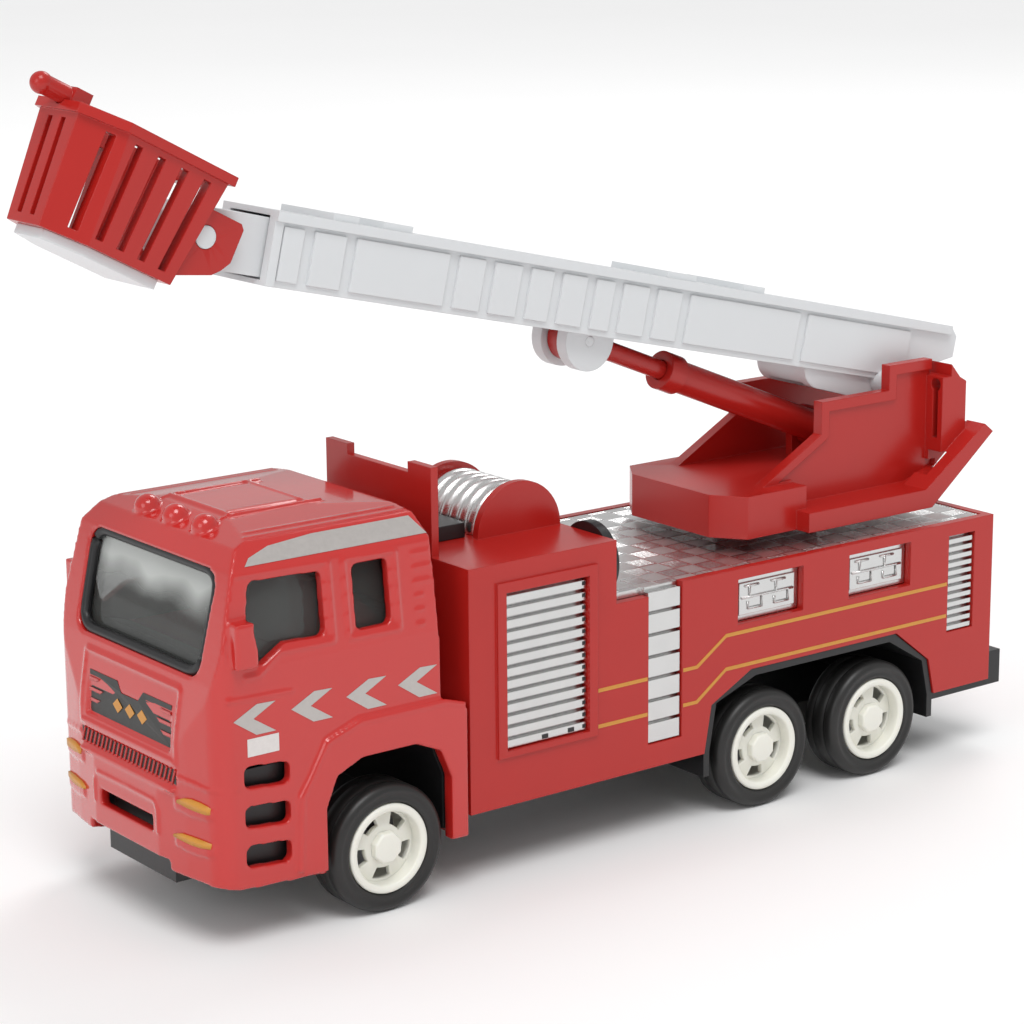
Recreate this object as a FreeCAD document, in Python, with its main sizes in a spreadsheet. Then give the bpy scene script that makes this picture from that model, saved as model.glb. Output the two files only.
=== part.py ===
import FreeCAD, Part
import os
import re

import Sketcher

V = FreeCAD.Vector
doc = FreeCAD.newDocument("ToyFireEngine")

# ---------------------------------------------------------------------------
# Driving dimensions, millimetres and degrees.  +X is forward, +Y is the left
# side, +Z is up.  The tyres stand on z = 0 and x = 0 is the middle of the toy.
# ---------------------------------------------------------------------------
SIZES = [
    # wheels and axles
    ("front_axle_x", 41.04), ("mid_axle_x", -26.76), ("rear_axle_x", -49.46), ("tyre_radius", 9.0),
    ("tyre_width", 6.6), ("rim_radius", 6.3), ("wheel_outer_y", "=body_half - 0.1"), ("axle_radius", 1.0),
    ("axle_play", 0.06), ("rim_face_recess", 0.9), ("rim_band", 1.1), ("rim_hub_radius", 2.7),
    ("spoke_hole_radius", 1.15), ("spoke_hole_circle", 3.95),
    # chassis
    ("frame_front_x", "=cab_front_x - 4.8"), ("frame_rear_x", "=body_rear_x + 0.08"),
    ("frame_bottom", "=tyre_radius - 2.0"), ("frame_top", "=frame_bottom + 3.6"),
    ("frame_half", "=body_half - 10"), ("floor_bottom", "=frame_bottom + 2.6"),
    ("floor_half", "=body_half - 5"), ("floor_front_x", "=box_front_x - 0.95"),
    ("tail_half", "=body_half - 0.5"), ("bumper_rear_x", "=body_rear_x - 3.02"),
    ("bumper_top", "=frame_top + 4.4"), ("part_gap", 0.1), ("nose_x", "=cab_front_x - 2.2"),
    ("nose_half", 8.7), ("nose_bottom", "=frame_bottom - 0.2"),
    ("vent_back_inner", "=cab_well_half - 3.9"), ("vent_back_x", "=vent_front_x + 0.2"),
    ("well_wall", 1.1), ("well_half", "=body_half - 0.3"),
    ("cab_well_half", "=cab_half - cab_wall - 0.35"),
    # rear arch outline, at the body's side
    ("arch_front_low_x", "=arch_front_x + 1.3"), ("arch_front_x", "=mid_axle_x + tyre_radius + 1.56"),
    ("arch_front_z", "=2 * tyre_radius - 0.1"), ("arch_top_front_x", "=mid_axle_x + 2.86"),
    ("arch_top", "=2 * tyre_radius + 3.8"), ("arch_top_rear_x", "=rear_axle_x - 4.04"),
    ("arch_rear_x", "=rear_axle_x - tyre_radius - 2.14"), ("arch_rear_z", "=2 * tyre_radius - 1.6"),
    ("arch_rear_low_x", "=arch_rear_x - 1.3"),
    # front arch outline
    ("fender_front_x", "=front_axle_x + tyre_radius + 1.16"),
    ("fender_rear_x", "=front_axle_x - tyre_radius - 1.24"), ("fender_top", "=2 * tyre_radius + 5"),
    ("fender_cut", 6.0),
    # rear body
    ("body_half", 21.0), ("body_wall", 1.4), ("body_bottom", "=frame_top + part_gap + 0.03"),
    ("body_rear_x", -74.18), ("box_front_x", "=cab_skirt_rear_x - 0.55"), ("box_rear_x", 1.79),
    ("box_top", "=deck_top + 8.03"), ("deck_top", 37.5), ("louvre_rear_x", 6.92),
    ("louvre_front_x", 21.42), ("louvre_low", 18.71), ("louvre_high", 41.31), ("louvre_frame", 1.5),
    ("louvre_proud", 0.4), ("ladder_rear_x", -10.41), ("ladder_front_x", -4.09), ("ladder_low", 14.3),
    ("panel_a_rear_x", -33.97), ("panel_a_front_x", -21.06), ("panel_b_rear_x", -56.23),
    ("panel_b_front_x", -43.29), ("panel_low", 29.11), ("panel_high", 35.91), ("grille_rear_x", -70.14),
    ("grille_front_x", -64.47), ("grille_low", 20.08), ("grille_high", 35.45), ("fence_thick", 1.2),
    ("fence_rail", "=box_top + 11.07"), ("fence_post", "=fence_rail + 1.5"), ("fence_half", 12.7),
    ("fence_gate_half", "=fence_half - 5.4"), ("reel_x", 9.4), ("cheek_radius", 7.35), ("cheek_half", 8.7),
    ("cheek_thick", 1.2), ("coil_tube", 1.1), ("coil_circle", 5.6), ("coil_pitch", 2.15),
    ("coil_count", 6), ("tongue_x", 3.0), ("tongue_y", 5.5), ("tongue_depth", 2.6),
    ("cradle_rear_x", 17.2), ("cradle_front_x", 23.6), ("cradle_half", 6.4), ("cradle_tall", 2.2),
    ("coupling_y", 14.2), ("coupling_z", 41.4), ("coupling_radius", 5.5), ("coupling_thick", 1.5),
    # silver insert
    ("insert_half", "=body_half - body_wall - 0.2"), ("insert_wall", 1.0),
    ("insert_bottom", "=body_bottom + 1.77"), ("insert_rear_x", "=body_rear_x + body_wall + 0.18"),
    ("insert_front_x", "=box_front_x - body_wall - 0.25"), ("insert_top", "=box_top - body_wall - 1.53"),
    ("window_gap", 0.15), ("panel_face_half", "=body_half - 0.7"), ("slat_face_half", "=body_half - 0.3"),
    ("slat_count", 13), ("fine_slat_count", 12),
    # screws and bosses
    ("boss_radius", 2.4), ("screw_radius", 0.9), ("screw_head_radius", 1.9), ("screw_head_deep", 1.4),
    ("screw_reach", "=frame_top + 6.4"), ("mid_screw_x", 10.0), ("rear_screw_x", "=body_rear_x + 3.58"),
    ("front_screw_x", "=cab_front_x - 7.8"), ("screw_clear", 0.15),
    # cab
    ("cab_half", "=body_half - 0.25"), ("cab_wall", 1.5), ("cab_rear_x", "=cab_skirt_rear_x + 3.9"),
    ("cab_skirt_rear_x", "=fender_rear_x - 2.7"), ("cab_front_x", 69.3), ("cab_side_bottom", 8.0),
    ("cab_front_bottom", 10.9), ("brow_z", 20.5), ("badge_z", 29.0), ("badge_x", "=cab_front_x - 0.9"),
    ("screen_low_z", "=badge_z + 7.1"), ("screen_low_x", "=cab_front_x - 2.1"), ("screen_high_z", 50.8),
    ("screen_high_x", "=cab_front_x - 5.65"), ("roof_lip_x", "=cab_front_x - 7.5"), ("roof_lip_z", 53.2),
    ("roof_front_x", "=cab_front_x - 11.8"), ("roof_front_z", 54.8), ("roof_top", 54.95),
    ("roof_mid_x", 45.0), ("roof_rear_x", 33.8), ("roof_rear_z", 54.4), ("gutter_z", 50.6),
    ("gutter_half", "=cab_half - 1.35"), ("belt_z", 38.0), ("eave_half", "=cab_half - 3.95"),
    ("eave_z", 53.9), ("crown_half", 8.0), ("skirt_top", "=fender_top + 3.4"),
    ("skirt_shoulder", "=fender_top + 4.6"), ("cab_corner", 3.2), ("flare_half", "=cab_half + 0.55"),
    ("screen_half_low", "=cab_half - 5.05"), ("screen_half_high", "=cab_half - 4.65"),
    ("screen_sill", 36.5), ("screen_head", 50.3), ("window_head", 49.3), ("window_sill", 40.4),
    ("window_dip", 37.9), ("door_window_front_x", "=cab_front_x - 7.1"), ("door_window_rear_x", 50.25),
    ("crew_window_front_x", 45.4), ("crew_window_rear_x", 39.8), ("vent_rear_x", "=vent_front_x - 6.9"),
    ("vent_front_x", "=cab_front_x - 5.9"), ("vent_tall", 2.95), ("vent_low", 10.9), ("vent_step", 5.4),
    ("vent_rise", 0.6), ("cab_bow", 0.9), ("cab_sweep", 2.2), ("cab_chin", 9.6), ("chin_half", 10.3),
    ("screen_corner", 2.2), ("window_corner", 0.9), ("slot_half", 6.9), ("slot_low", 14.0),
    ("slot_high", 16.2), ("grille_half", 12.4), ("grille_strip_low", 21.5), ("grille_strip_high", 24.0),
    ("badge_half", 10.9), ("badge_low", 25.9), ("badge_high", 32.2), ("relief", 0.35),
    ("hatch_rear_x", 44.8), ("hatch_front_x", "=lamp_x - 4.0"), ("hatch_half", 6.1), ("hatch_proud", 0.25),
    ("lamp_x", "=cab_front_x - 9.3"), ("lamp_spacing", 7.3), ("lamp_radius", 1.9), ("lamp_z", 53.9),
    ("mirror_rear_x", "=mirror_front_x - 3.3"), ("mirror_front_x", "=cab_front_x - 4.4"),
    ("mirror_low", 38.6), ("mirror_high", 44.6), ("mirror_reach", "=cab_half + 1.45"), ("glass_gap", 0.1),
    ("glass_thick", 0.8), ("glass_low", 35.2), ("glass_high", 52.2), ("floor_low", "=fender_top + 1.6"),
    ("floor_thick", 1.2), ("dash_top", "=floor_low + 12.4"), ("seat_top", "=floor_low + 6.9"),
    ("seat_back_top", "=floor_low + 16.4"), ("interior_half", "=cab_half - 4.15"),
    ("steering_x", "=cab_front_x - 12.7"), ("steering_y", 8.0), ("steering_z", "=floor_low + 13.0"),
    ("steering_circle", 3.0), ("steering_tube", 0.4), ("steering_tilt", 32.0),
    # turret
    ("turret_x", -45.0), ("disc_radius", 8.0), ("disc_top", "=deck_top + 1.5"), ("post_radius", 4.0),
    ("post_play", 0.08), ("post_bottom", "=deck_top - 6"), ("washer_radius", "=post_radius + 2.2"),
    ("washer_thick", 1.0), ("slab_bottom", "=disc_top + 0.1"), ("slab_top", "=slab_bottom + 6.5"),
    ("slab_front_x", "=turret_x + 19.1"), ("slab_nose_half", 8.9), ("slab_half", 13.7), ("nose_wall", 1.3),
    ("slab_cheek_x", "=turret_x + 15.6"), ("slab_rear_x", "=turret_x + 3.8"), ("flange_half", 16.5),
    ("flange_thick", 3.0), ("flange_rear_x", "=turret_x - 20.2"), ("tail_x", "=turret_x - 33.3"),
    ("tail_top", "=slab_bottom + 11.7"), ("tail_notch_half", 7.6), ("wall_half", "=wall_inner_half + 1.8"),
    ("wall_inner_half", "=boom_half + rail_proud + 1.95"), ("wall_toe_x", "=turret_x + 9.9"),
    ("wall_knee_x", "=turret_x - 2"), ("wall_knee_z", "=slab_bottom + 13"),
    ("wall_front_top", "=slab_bottom + 18"), ("wall_step_x", "=turret_x - 16.2"),
    ("wall_rear_top", "=slab_bottom + 21.9"), ("wall_rear_x", "=turret_x - 25.4"), ("wall_border", 1.6),
    ("wall_sink", 0.5), ("gusset_half", "=wall_half + 3"), ("gusset_front_x", "=wall_rear_x - 1.3"),
    ("gusset_rear_x", "=gusset_front_x - 3.3"), ("gusset_top", "=wall_rear_top - 0.6"),
    ("ram_lug_half", "=ram_lug_inner + 1.4"), ("ram_lug_inner", "=foot_half + 0.2"),
    ("ram_lug_front_x", "=ram_foot_x + 3.1"), ("ram_lug_rear_x", "=ram_foot_x - 3.5"),
    # boom: along and height are measured in the boom's own frame, from its pivot
    ("boom_pivot_x", "=turret_x - 19.2"), ("boom_pivot_z", "=slab_bottom + 18.4"), ("boom_pitch", 13.2),
    ("trunnion_radius", 2.0), ("trunnion_play", 0.08), ("socket_depth", 1.2), ("boom_rear", -14.6),
    ("boom_front", 116.5), ("boom_half", 6.4), ("boom_skin", 0.35), ("boom_low", 0.3), ("boom_high", 10.3),
    ("boom_tail_low", 5.5), ("boom_bore_rear", 18.0), ("boom_bore_half", "=boom_half - boom_skin - 1.15"),
    ("boom_bore_low", "=boom_low + 0.7"), ("boom_bore_high", "=boom_high - 0.8"),
    ("rail_low", "=boom_high - 1.4"), ("rail_proud", 0.45), ("knuckle_front", 16.5), ("knuckle_low", -2.6),
    ("knuckle_radius", 3.3), ("knuckle_half", 5.4), ("rib_low", 1.2),
    ("slide_half", "=boom_bore_half - 0.3"), ("slide_low", "=boom_bore_low + 0.3"),
    ("slide_high", "=boom_bore_high - 0.3"), ("slide_rear", 32.0),
    ("slide_hollow_half", "=slide_half - 1.3"), ("slide_roof", 1.4),
    ("bucket_pin_along", "=boom_front + 10.5"), ("bucket_pin_high", 5.4), ("slide_nose", 2.4),
    ("bucket_pin_radius", 1.5), ("bucket_pin_half", "=ear_half + 0.05"),
    # ram
    ("ram_eye_along", 58.4), ("ram_eye_high", -0.65), ("eye_radius", 3.4), ("eye_half", 1.6),
    ("eye_lug_radius", "=eye_radius + 1.0"), ("eye_lug_inner", "=eye_half + 0.25"),
    ("eye_lug_half", "=eye_lug_inner + 2.15"), ("eye_pin_radius", 0.8), ("eye_slack", 1.0),
    ("underslot_rear", 35.0), ("collar_relief_front", 47.5),
    ("collar_relief_half", "=collar_radius + 0.35"), ("ram_foot_x", "=turret_x - 11.7"),
    ("ram_foot_z", "=slab_bottom + 10.9"), ("ram_pitch", "=atan2(ram_span_z; ram_span_x)"),
    ("barrel_radius", 2.45), ("barrel_length", 34.0), ("barrel_bore", "=rod_radius + 0.1"),
    ("collar_radius", "=barrel_radius + 0.5"), ("collar_long", 3.2), ("rod_radius", 1.45),
    ("rod_reach", 33.0), ("foot_pin_radius", 0.8), ("foot_pin_play", 0.06), ("foot_half", 2.8),
    ("ram_span_x", "=boom_pivot_x - ram_foot_x + ram_eye_along * cos(boom_pitch) - ram_eye_high * sin(boom_pitch)"),
    ("ram_span_z", "=boom_pivot_z - ram_foot_z + ram_eye_along * sin(boom_pitch) + ram_eye_high * cos(boom_pitch)"),
    ("ram_length", "=sqrt(ram_span_x ^ 2 + ram_span_z ^ 2)"),
    # bucket: along and height are measured in the bucket's own frame, from its pin
    ("bucket_pitch", 28.0), ("rim_rear", 0.7), ("rim_corner", 16.8), ("rim_front", 22.5),
    ("rim_half", "=tub_half + 1.3"), ("rim_nose_half", 5.0), ("rim_high", 8.4), ("rim_thick", 1.3),
    ("rim_proud", 0.45), ("tub_rear", 2.5), ("tub_corner", 15.5), ("tub_front", 21.2),
    ("tub_half", "=ear_half + 0.5"), ("tub_nose_half", 4.2), ("tub_low", -7.6), ("tub_wall", 1.5),
    ("tub_floor", 1.1), ("bar_pitch", 3.3), ("bar_gap", 1.15), ("bar_low", -6.4), ("bar_high", 6.3),
    ("bar_count", 5), ("gate_half", "=slide_half + 0.8"), ("gate_tall", 6.0), ("ear_rear", -4.9),
    ("ear_half", "=slide_half + 2.4"), ("ear_thick", 1.4), ("ear_high", 3.6), ("ear_hole_play", 0.07),
    ("tray_thick", 1.3), ("tray_inset", 1.2), ("monitor_along", "=rim_front - 1.6"),
    ("monitor_radius", 1.3), ("monitor_ball", 1.45), ("monitor_high", "=rim_high + 0.7"),
    ("monitor_reach", 5.2), ("monitor_base_half", 1.8),
]

sheet = doc.addObject("Spreadsheet::Sheet", "Sizes")
for row, (alias, _) in enumerate(SIZES, start=1):
    sheet.set("A%d" % row, alias)
    sheet.set("B%d" % row, "1")
    sheet.setAlias("B%d" % row, alias)
doc.recompute()
for row, (_, value) in enumerate(SIZES, start=1):
    sheet.set("B%d" % row, str(value))
doc.recompute()

NAMES = {alias for alias, _ in SIZES}
parts = []


def bound(text):
    """An expression on the sheet, written with bare size names."""
    return re.sub(r"[A-Za-z_]\w*", lambda m: "Sizes." + m.group(0) if m.group(0) in NAMES else m.group(0), str(text))


def size(text):
    """The same expression as a number, for counts and for tests."""
    values = {alias: sheet.get(alias) for alias in NAMES}
    return float(sheet.evalExpression(bound(text))) if not text.isidentifier() else float(values[text])


def bind(obj, prop, text):
    obj.setExpression(prop, bound(text))


def place(obj, x="0", y="0", z="0"):
    for axis, text in (("x", x), ("y", y), ("z", z)):
        bind(obj, "Placement.Base." + axis, text)


def pitch_up(obj, angle, x, z):
    """Raises the object's nose by angle about Y and sets its origin at x, z."""
    obj.Placement = FreeCAD.Placement(V(0, 0, 0), FreeCAD.Rotation(V(0, -1, 0), 1))
    bind(obj, "Placement.Rotation.Angle", angle)
    place(obj, x=x, z=z)


def keep(obj, label):
    obj.Label = label
    parts.append(obj)
    return obj


class Moulding:
    """A PartDesign body built from pads and pockets on its three origin planes."""

    PLANES = {"side": "XZ_Plane", "plan": "XY_Plane", "front": "YZ_Plane"}

    def __init__(self, name):
        self.body = doc.addObject("PartDesign::Body", name)
        self.count = 0

    def sketch(self, view, outlines, offset=None):
        self.count += 1
        made = self.body.newObject("Sketcher::SketchObject", "%s_sketch_%d" % (self.body.Name, self.count))
        role = self.PLANES[view]
        plane = next(f for f in self.body.Origin.OriginFeatures if f.Role == role)
        made.AttachmentSupport = [(plane, "")]
        made.MapMode = "FlatFace"
        if offset is not None:
            bind(made, "AttachmentOffset.Base.z", offset)
        for outline in outlines:
            if len(outline) == 3 and isinstance(outline[0], str):
                self._circle(made, *outline)
            else:
                self._polygon(made, outline)
        return made

    @staticmethod
    def _hold(made, geo, point, texts):
        for kind, text in zip(("DistanceX", "DistanceY"), texts):
            index = made.addConstraint(Sketcher.Constraint(kind, -1, 1, geo, point, size(text)))
            bind(made, "Constraints[%d]" % index, text)

    def _circle(self, made, across, up, radius):
        centre = V(size(across), size(up), 0)
        geo = made.addGeometry(Part.Circle(centre, V(0, 0, 1), size(radius)), False)
        self._hold(made, geo, 3, (across, up))
        index = made.addConstraint(Sketcher.Constraint("Radius", geo, size(radius)))
        bind(made, "Constraints[%d]" % index, radius)

    def _polygon(self, made, outline):
        points = [V(size(a), size(b), 0) for a, b in outline]
        first = len(made.Geometry)
        total = len(points)
        for i in range(total):
            made.addGeometry(Part.LineSegment(points[i], points[(i + 1) % total]), False)
        for i in range(total):
            made.addConstraint(Sketcher.Constraint("Coincident", first + i, 2, first + (i + 1) % total, 1))
            self._hold(made, first + i, 1, outline[i])

    def _feature(self, kind, made, length, centred):
        feature = self.body.newObject("PartDesign::" + kind, "%s_%s_%d" % (self.body.Name, kind, self.count))
        feature.Profile = made
        if centred:
            feature.Midplane = True
        bind(feature, "Length", length)
        self.body.Tip = feature
        return feature

    def add(self, outlines, width):
        """Side-view outlines padded to a width centred on y = 0."""
        self._feature("Pad", self.sketch("side", outlines), width, True)
        return self

    def cut(self, outlines, width):
        self._feature("Pocket", self.sketch("side", outlines), width, True)
        return self

    def add_between(self, view, outlines, low, high):
        """Plan outlines from z = low to high, or front outlines from x = low to high."""
        made = self.sketch(view, outlines, low)
        self._feature("Pad", made, "%s - (%s)" % (high, low), False)
        return self

    def cut_between(self, view, outlines, low, high):
        made = self.sketch(view, outlines, low)
        feature = self._feature("Pocket", made, "%s - (%s)" % (high, low), False)
        feature.Reversed = True
        return self

    def round_edges(self, radius, wanted):
        doc.recompute()
        base = self.body.Tip
        names = ["Edge%d" % (i + 1) for i, edge in enumerate(base.Shape.Edges) if wanted(edge)]
        fillet = self.body.newObject("PartDesign::Fillet", "%s_fillet_%d" % (self.body.Name, self.count))
        fillet.Base = (base, names)
        bind(fillet, "Radius", radius)
        self.body.Tip = fillet
        return self


def box(x0, x1, z0, z1):
    """A side-view rectangle, or (y, z) or (x, y) in the other views."""
    return [(x0, z0), (x1, z0), (x1, z1), (x0, z1)]


def mirrored(half):
    """Closes a half outline, given up its right side, with its mirror image."""
    return half + [("-(%s)" % a, b) for a, b in reversed(half)]


def boolean(kind, name, base, *tools):
    if kind == "Cut":
        made = doc.addObject("Part::Cut", name)
        made.Base = base
        made.Tool = tools[0] if len(tools) == 1 else boolean("Fuse", name + "_tools", *tools)
    else:
        made = doc.addObject("Part::MultiFuse" if kind == "Fuse" else "Part::MultiCommon", name)
        made.Shapes = [base] + list(tools)
    return made


def cylinder(name, radius, length, x="0", y="0", z="0", along="z"):
    made = doc.addObject("Part::Cylinder", name)
    bind(made, "Radius", radius)
    bind(made, "Height", length)
    turns = {"z": (V(0, 0, 1), 0), "y": (V(1, 0, 0), -90), "x": (V(0, 1, 0), 90)}
    made.Placement = FreeCAD.Placement(V(0, 0, 0), FreeCAD.Rotation(*turns[along]))
    place(made, x, y, z)
    return made


def block(name, x0, x1, y0, y1, z0, z1):
    made = doc.addObject("Part::Box", name)
    for prop, low, high in (("Length", x0, x1), ("Width", y0, y1), ("Height", z0, z1)):
        bind(made, prop, "%s - (%s)" % (high, low))
    place(made, x0, y0, z0)
    return made


# ---------------------------------------------------------------------------
# Outlines that more than one piece shares
# ---------------------------------------------------------------------------
def rear_arch(grow="0"):
    """The twin rear wheel arch; grow moves it outwards."""
    g = " + (%s)" % grow
    k = " - (%s)" % grow
    return [("arch_front_low_x" + g, "frame_bottom - 4"), ("arch_front_low_x" + g, "body_bottom"),
            ("arch_front_x" + g, "arch_front_z"), ("arch_top_front_x" + g, "arch_top" + g),
            ("arch_top_rear_x" + k, "arch_top" + g), ("arch_rear_x" + k, "arch_rear_z"),
            ("arch_rear_low_x" + k, "body_bottom"), ("arch_rear_low_x" + k, "frame_bottom - 4")]


def front_arch(grow="0"):
    g = " + (%s)" % grow
    k = " - (%s)" % grow
    return [("fender_front_x" + g, "frame_bottom - 4"), ("fender_front_x" + g, "fender_top - fender_cut"),
            ("fender_front_x - fender_cut * 0.3" + g, "fender_top - fender_cut * 0.3" + g),
            ("fender_front_x - fender_cut", "fender_top" + g),
            ("fender_rear_x + fender_cut", "fender_top" + g),
            ("fender_rear_x + fender_cut * 0.3" + k, "fender_top - fender_cut * 0.3" + g),
            ("fender_rear_x" + k, "fender_top - fender_cut"), ("fender_rear_x" + k, "frame_bottom - 4")]


AXLES = {"front": "front_axle_x", "mid": "mid_axle_x", "rear": "rear_axle_x"}


# ---------------------------------------------------------------------------
# Chassis: one black moulding with the wheel wells, axle bores and rear bumper
# ---------------------------------------------------------------------------
def chassis():
    m = Moulding("chassis_body")
    m.add([rear_arch()], "2 * well_half")
    m.add([front_arch("well_wall")], "2 * cab_well_half")
    m.cut([rear_arch("-well_wall")], "2 * body_half + 2")
    m.cut([front_arch()], "2 * body_half + 2")
    low = "frame_bottom - 5"
    m.cut([box("cab_skirt_rear_x - 6", "frame_front_x + 6", low, "frame_bottom + 2")], "2 * body_half + 2")
    m.add([box("frame_rear_x", "frame_front_x", "frame_bottom", "frame_top")], "2 * frame_half")
    m.add([box("arch_front_low_x", "floor_front_x", "floor_bottom", "body_bottom - part_gap")], "2 * floor_half")
    m.cut([box("arch_rear_low_x", "arch_front_low_x", low, "frame_bottom")], "2 * body_half + 2")
    m.add([box("frame_front_x - 1", "nose_x", "nose_bottom", "frame_top - 0.5")], "2 * nose_half")
    m.add([box("frame_front_x - 0.3", "cab_front_x - 2 * cab_wall - 0.15", "frame_bottom", "slot_high + 0.4")],
          "2 * nose_half")
    for low, high in (("vent_back_inner", "cab_well_half - 0.3"), ("0.3 - cab_well_half", "-vent_back_inner")):
        m.add_between("front", [box(low, high, "floor_bottom", "floor_low - 0.5")], "fender_front_x + 0.5",
                      "vent_back_x")
    m.add([box("bumper_rear_x", "arch_rear_low_x", "floor_bottom", "body_bottom - part_gap")], "2 * tail_half")
    m.add([box("bumper_rear_x", "body_rear_x - part_gap", "floor_bottom", "bumper_top")], "2 * tail_half")
    m.cut([(x, "tyre_radius", "axle_radius + axle_play") for x in AXLES.values()], "2 * body_half + 2")
    for x in ("mid_screw_x", "rear_screw_x", "front_screw_x"):
        m.cut_between("plan", [(x, "0", "screw_radius + screw_clear")], "frame_bottom - 1", "frame_top + 1")
        m.cut_between("plan", [(x, "0", "screw_head_radius + screw_clear")], "frame_bottom - 1",
                      "frame_bottom + screw_head_deep + screw_clear")
    keep(m.body, "chassis")


def screws():
    made = []
    for i, x in enumerate(("mid_screw_x", "rear_screw_x", "front_screw_x")):
        head = cylinder("screw_head_%d" % i, "screw_head_radius", "screw_head_deep", x=x,
                        z="frame_bottom + screw_clear")
        shank = cylinder("screw_shank_%d" % i, "screw_radius", "screw_reach - frame_bottom", x=x,
                         z="frame_bottom + screw_clear")
        slot = block("screw_slot_%d" % i, x + " - screw_head_radius", x + " + screw_head_radius",
                     "-screw_clear", "screw_clear", "frame_bottom", "frame_bottom + screw_head_deep * 0.5")
        cross = block("screw_cross_%d" % i, x + " - screw_clear", x + " + screw_clear",
                      "-screw_head_radius", "screw_head_radius", "frame_bottom",
                      "frame_bottom + screw_head_deep * 0.5")
        solid = boolean("Fuse", "screw_solid_%d" % i, head, shank)
        made.append(boolean("Cut", "screw_%d" % i, solid, slot, cross))
    group = doc.addObject("Part::Compound", "screw_group")
    group.Links = made
    keep(group, "chassis_screws")


# ---------------------------------------------------------------------------
# Wheels: a steel axle with a cream rim and a black tyre pressed on each end
# ---------------------------------------------------------------------------
def wheels():
    for axle, x in AXLES.items():
        rod = cylinder(axle + "_axle_rod", "axle_radius", "2 * (wheel_outer_y - rim_face_recess)", x=x,
                       y="-(wheel_outer_y - rim_face_recess)", z="tyre_radius", along="y")
        keep(rod, axle + "_axle")
        for side, sign in (("left", 1), ("right", -1)):
            name = "%s_%s" % (axle, side)
            inner = "wheel_outer_y - tyre_width"
            rim = Moulding(name + "_rim_body")
            rim.add([("0", "0", "rim_radius")], "tyre_width")
            rim.cut_between("side", [("0", "0", "rim_radius - rim_band")], "-tyre_width / 2 - 1",
                            "rim_face_recess - tyre_width / 2")
            rim.add_between("side", [("0", "0", "rim_hub_radius")], "-tyre_width / 2 + rim_face_recess / 2",
                            "0")
            rim.cut_between("side", [("0", "0", "axle_radius")], "-tyre_width / 2 + rim_face_recess", "tyre_width")
            rim.cut_between("side", [("0", "0", "rim_radius - rim_band")], "rim_face_recess + 0.6",
                            "tyre_width")
            rim.add_between("side", [("0", "0", "axle_radius + 1.1")], "0", "tyre_width / 2")
            rim.cut_between("side", [("0", "0", "axle_radius")], "-tyre_width / 2 + rim_face_recess", "tyre_width")
            holes = []
            for k in range(5):
                turn = "%g" % (90 + 72 * k)
                holes.append(("spoke_hole_circle * cos(%s)" % turn, "spoke_hole_circle * sin(%s)" % turn,
                              "spoke_hole_radius"))
            rim.cut(holes, "2 * tyre_width")
            rim.body.Placement = FreeCAD.Placement(V(0, 0, 0), FreeCAD.Rotation(V(0, 0, 1), 0 if sign > 0 else 180))
            middle = "%d * (wheel_outer_y - tyre_width / 2)" % sign
            place(rim.body, x=x, y=middle, z="tyre_radius")
            keep(rim.body, name + "_rim")
            tyre = Moulding(name + "_tyre_body")
            tyre.add([("0", "0", "tyre_radius")], "tyre_width")
            tyre.round_edges("tyre_width * 0.16", lambda e: len(e.Vertexes) == 1)
            tyre.cut([("0", "0", "rim_radius")], "2 * tyre_width")
            place(tyre.body, x=x, y=middle, z="tyre_radius")
            keep(tyre.body, name + "_tyre")


# ---------------------------------------------------------------------------
# Rear body: red locker box, sides, fence and the two half-disc reel cheeks
# ---------------------------------------------------------------------------
WINDOWS = {
    "louvre": ("louvre_rear_x", "louvre_front_x", "louvre_low", "louvre_high"),
    "ladder": ("ladder_rear_x", "ladder_front_x", "ladder_low", "deck_top + 1"),
    "panel_a": ("panel_a_rear_x", "panel_a_front_x", "panel_low", "panel_high"),
    "panel_b": ("panel_b_rear_x", "panel_b_front_x", "panel_low", "panel_high"),
    "grille": ("grille_rear_x", "grille_front_x", "grille_low", "grille_high"),
}


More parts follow.
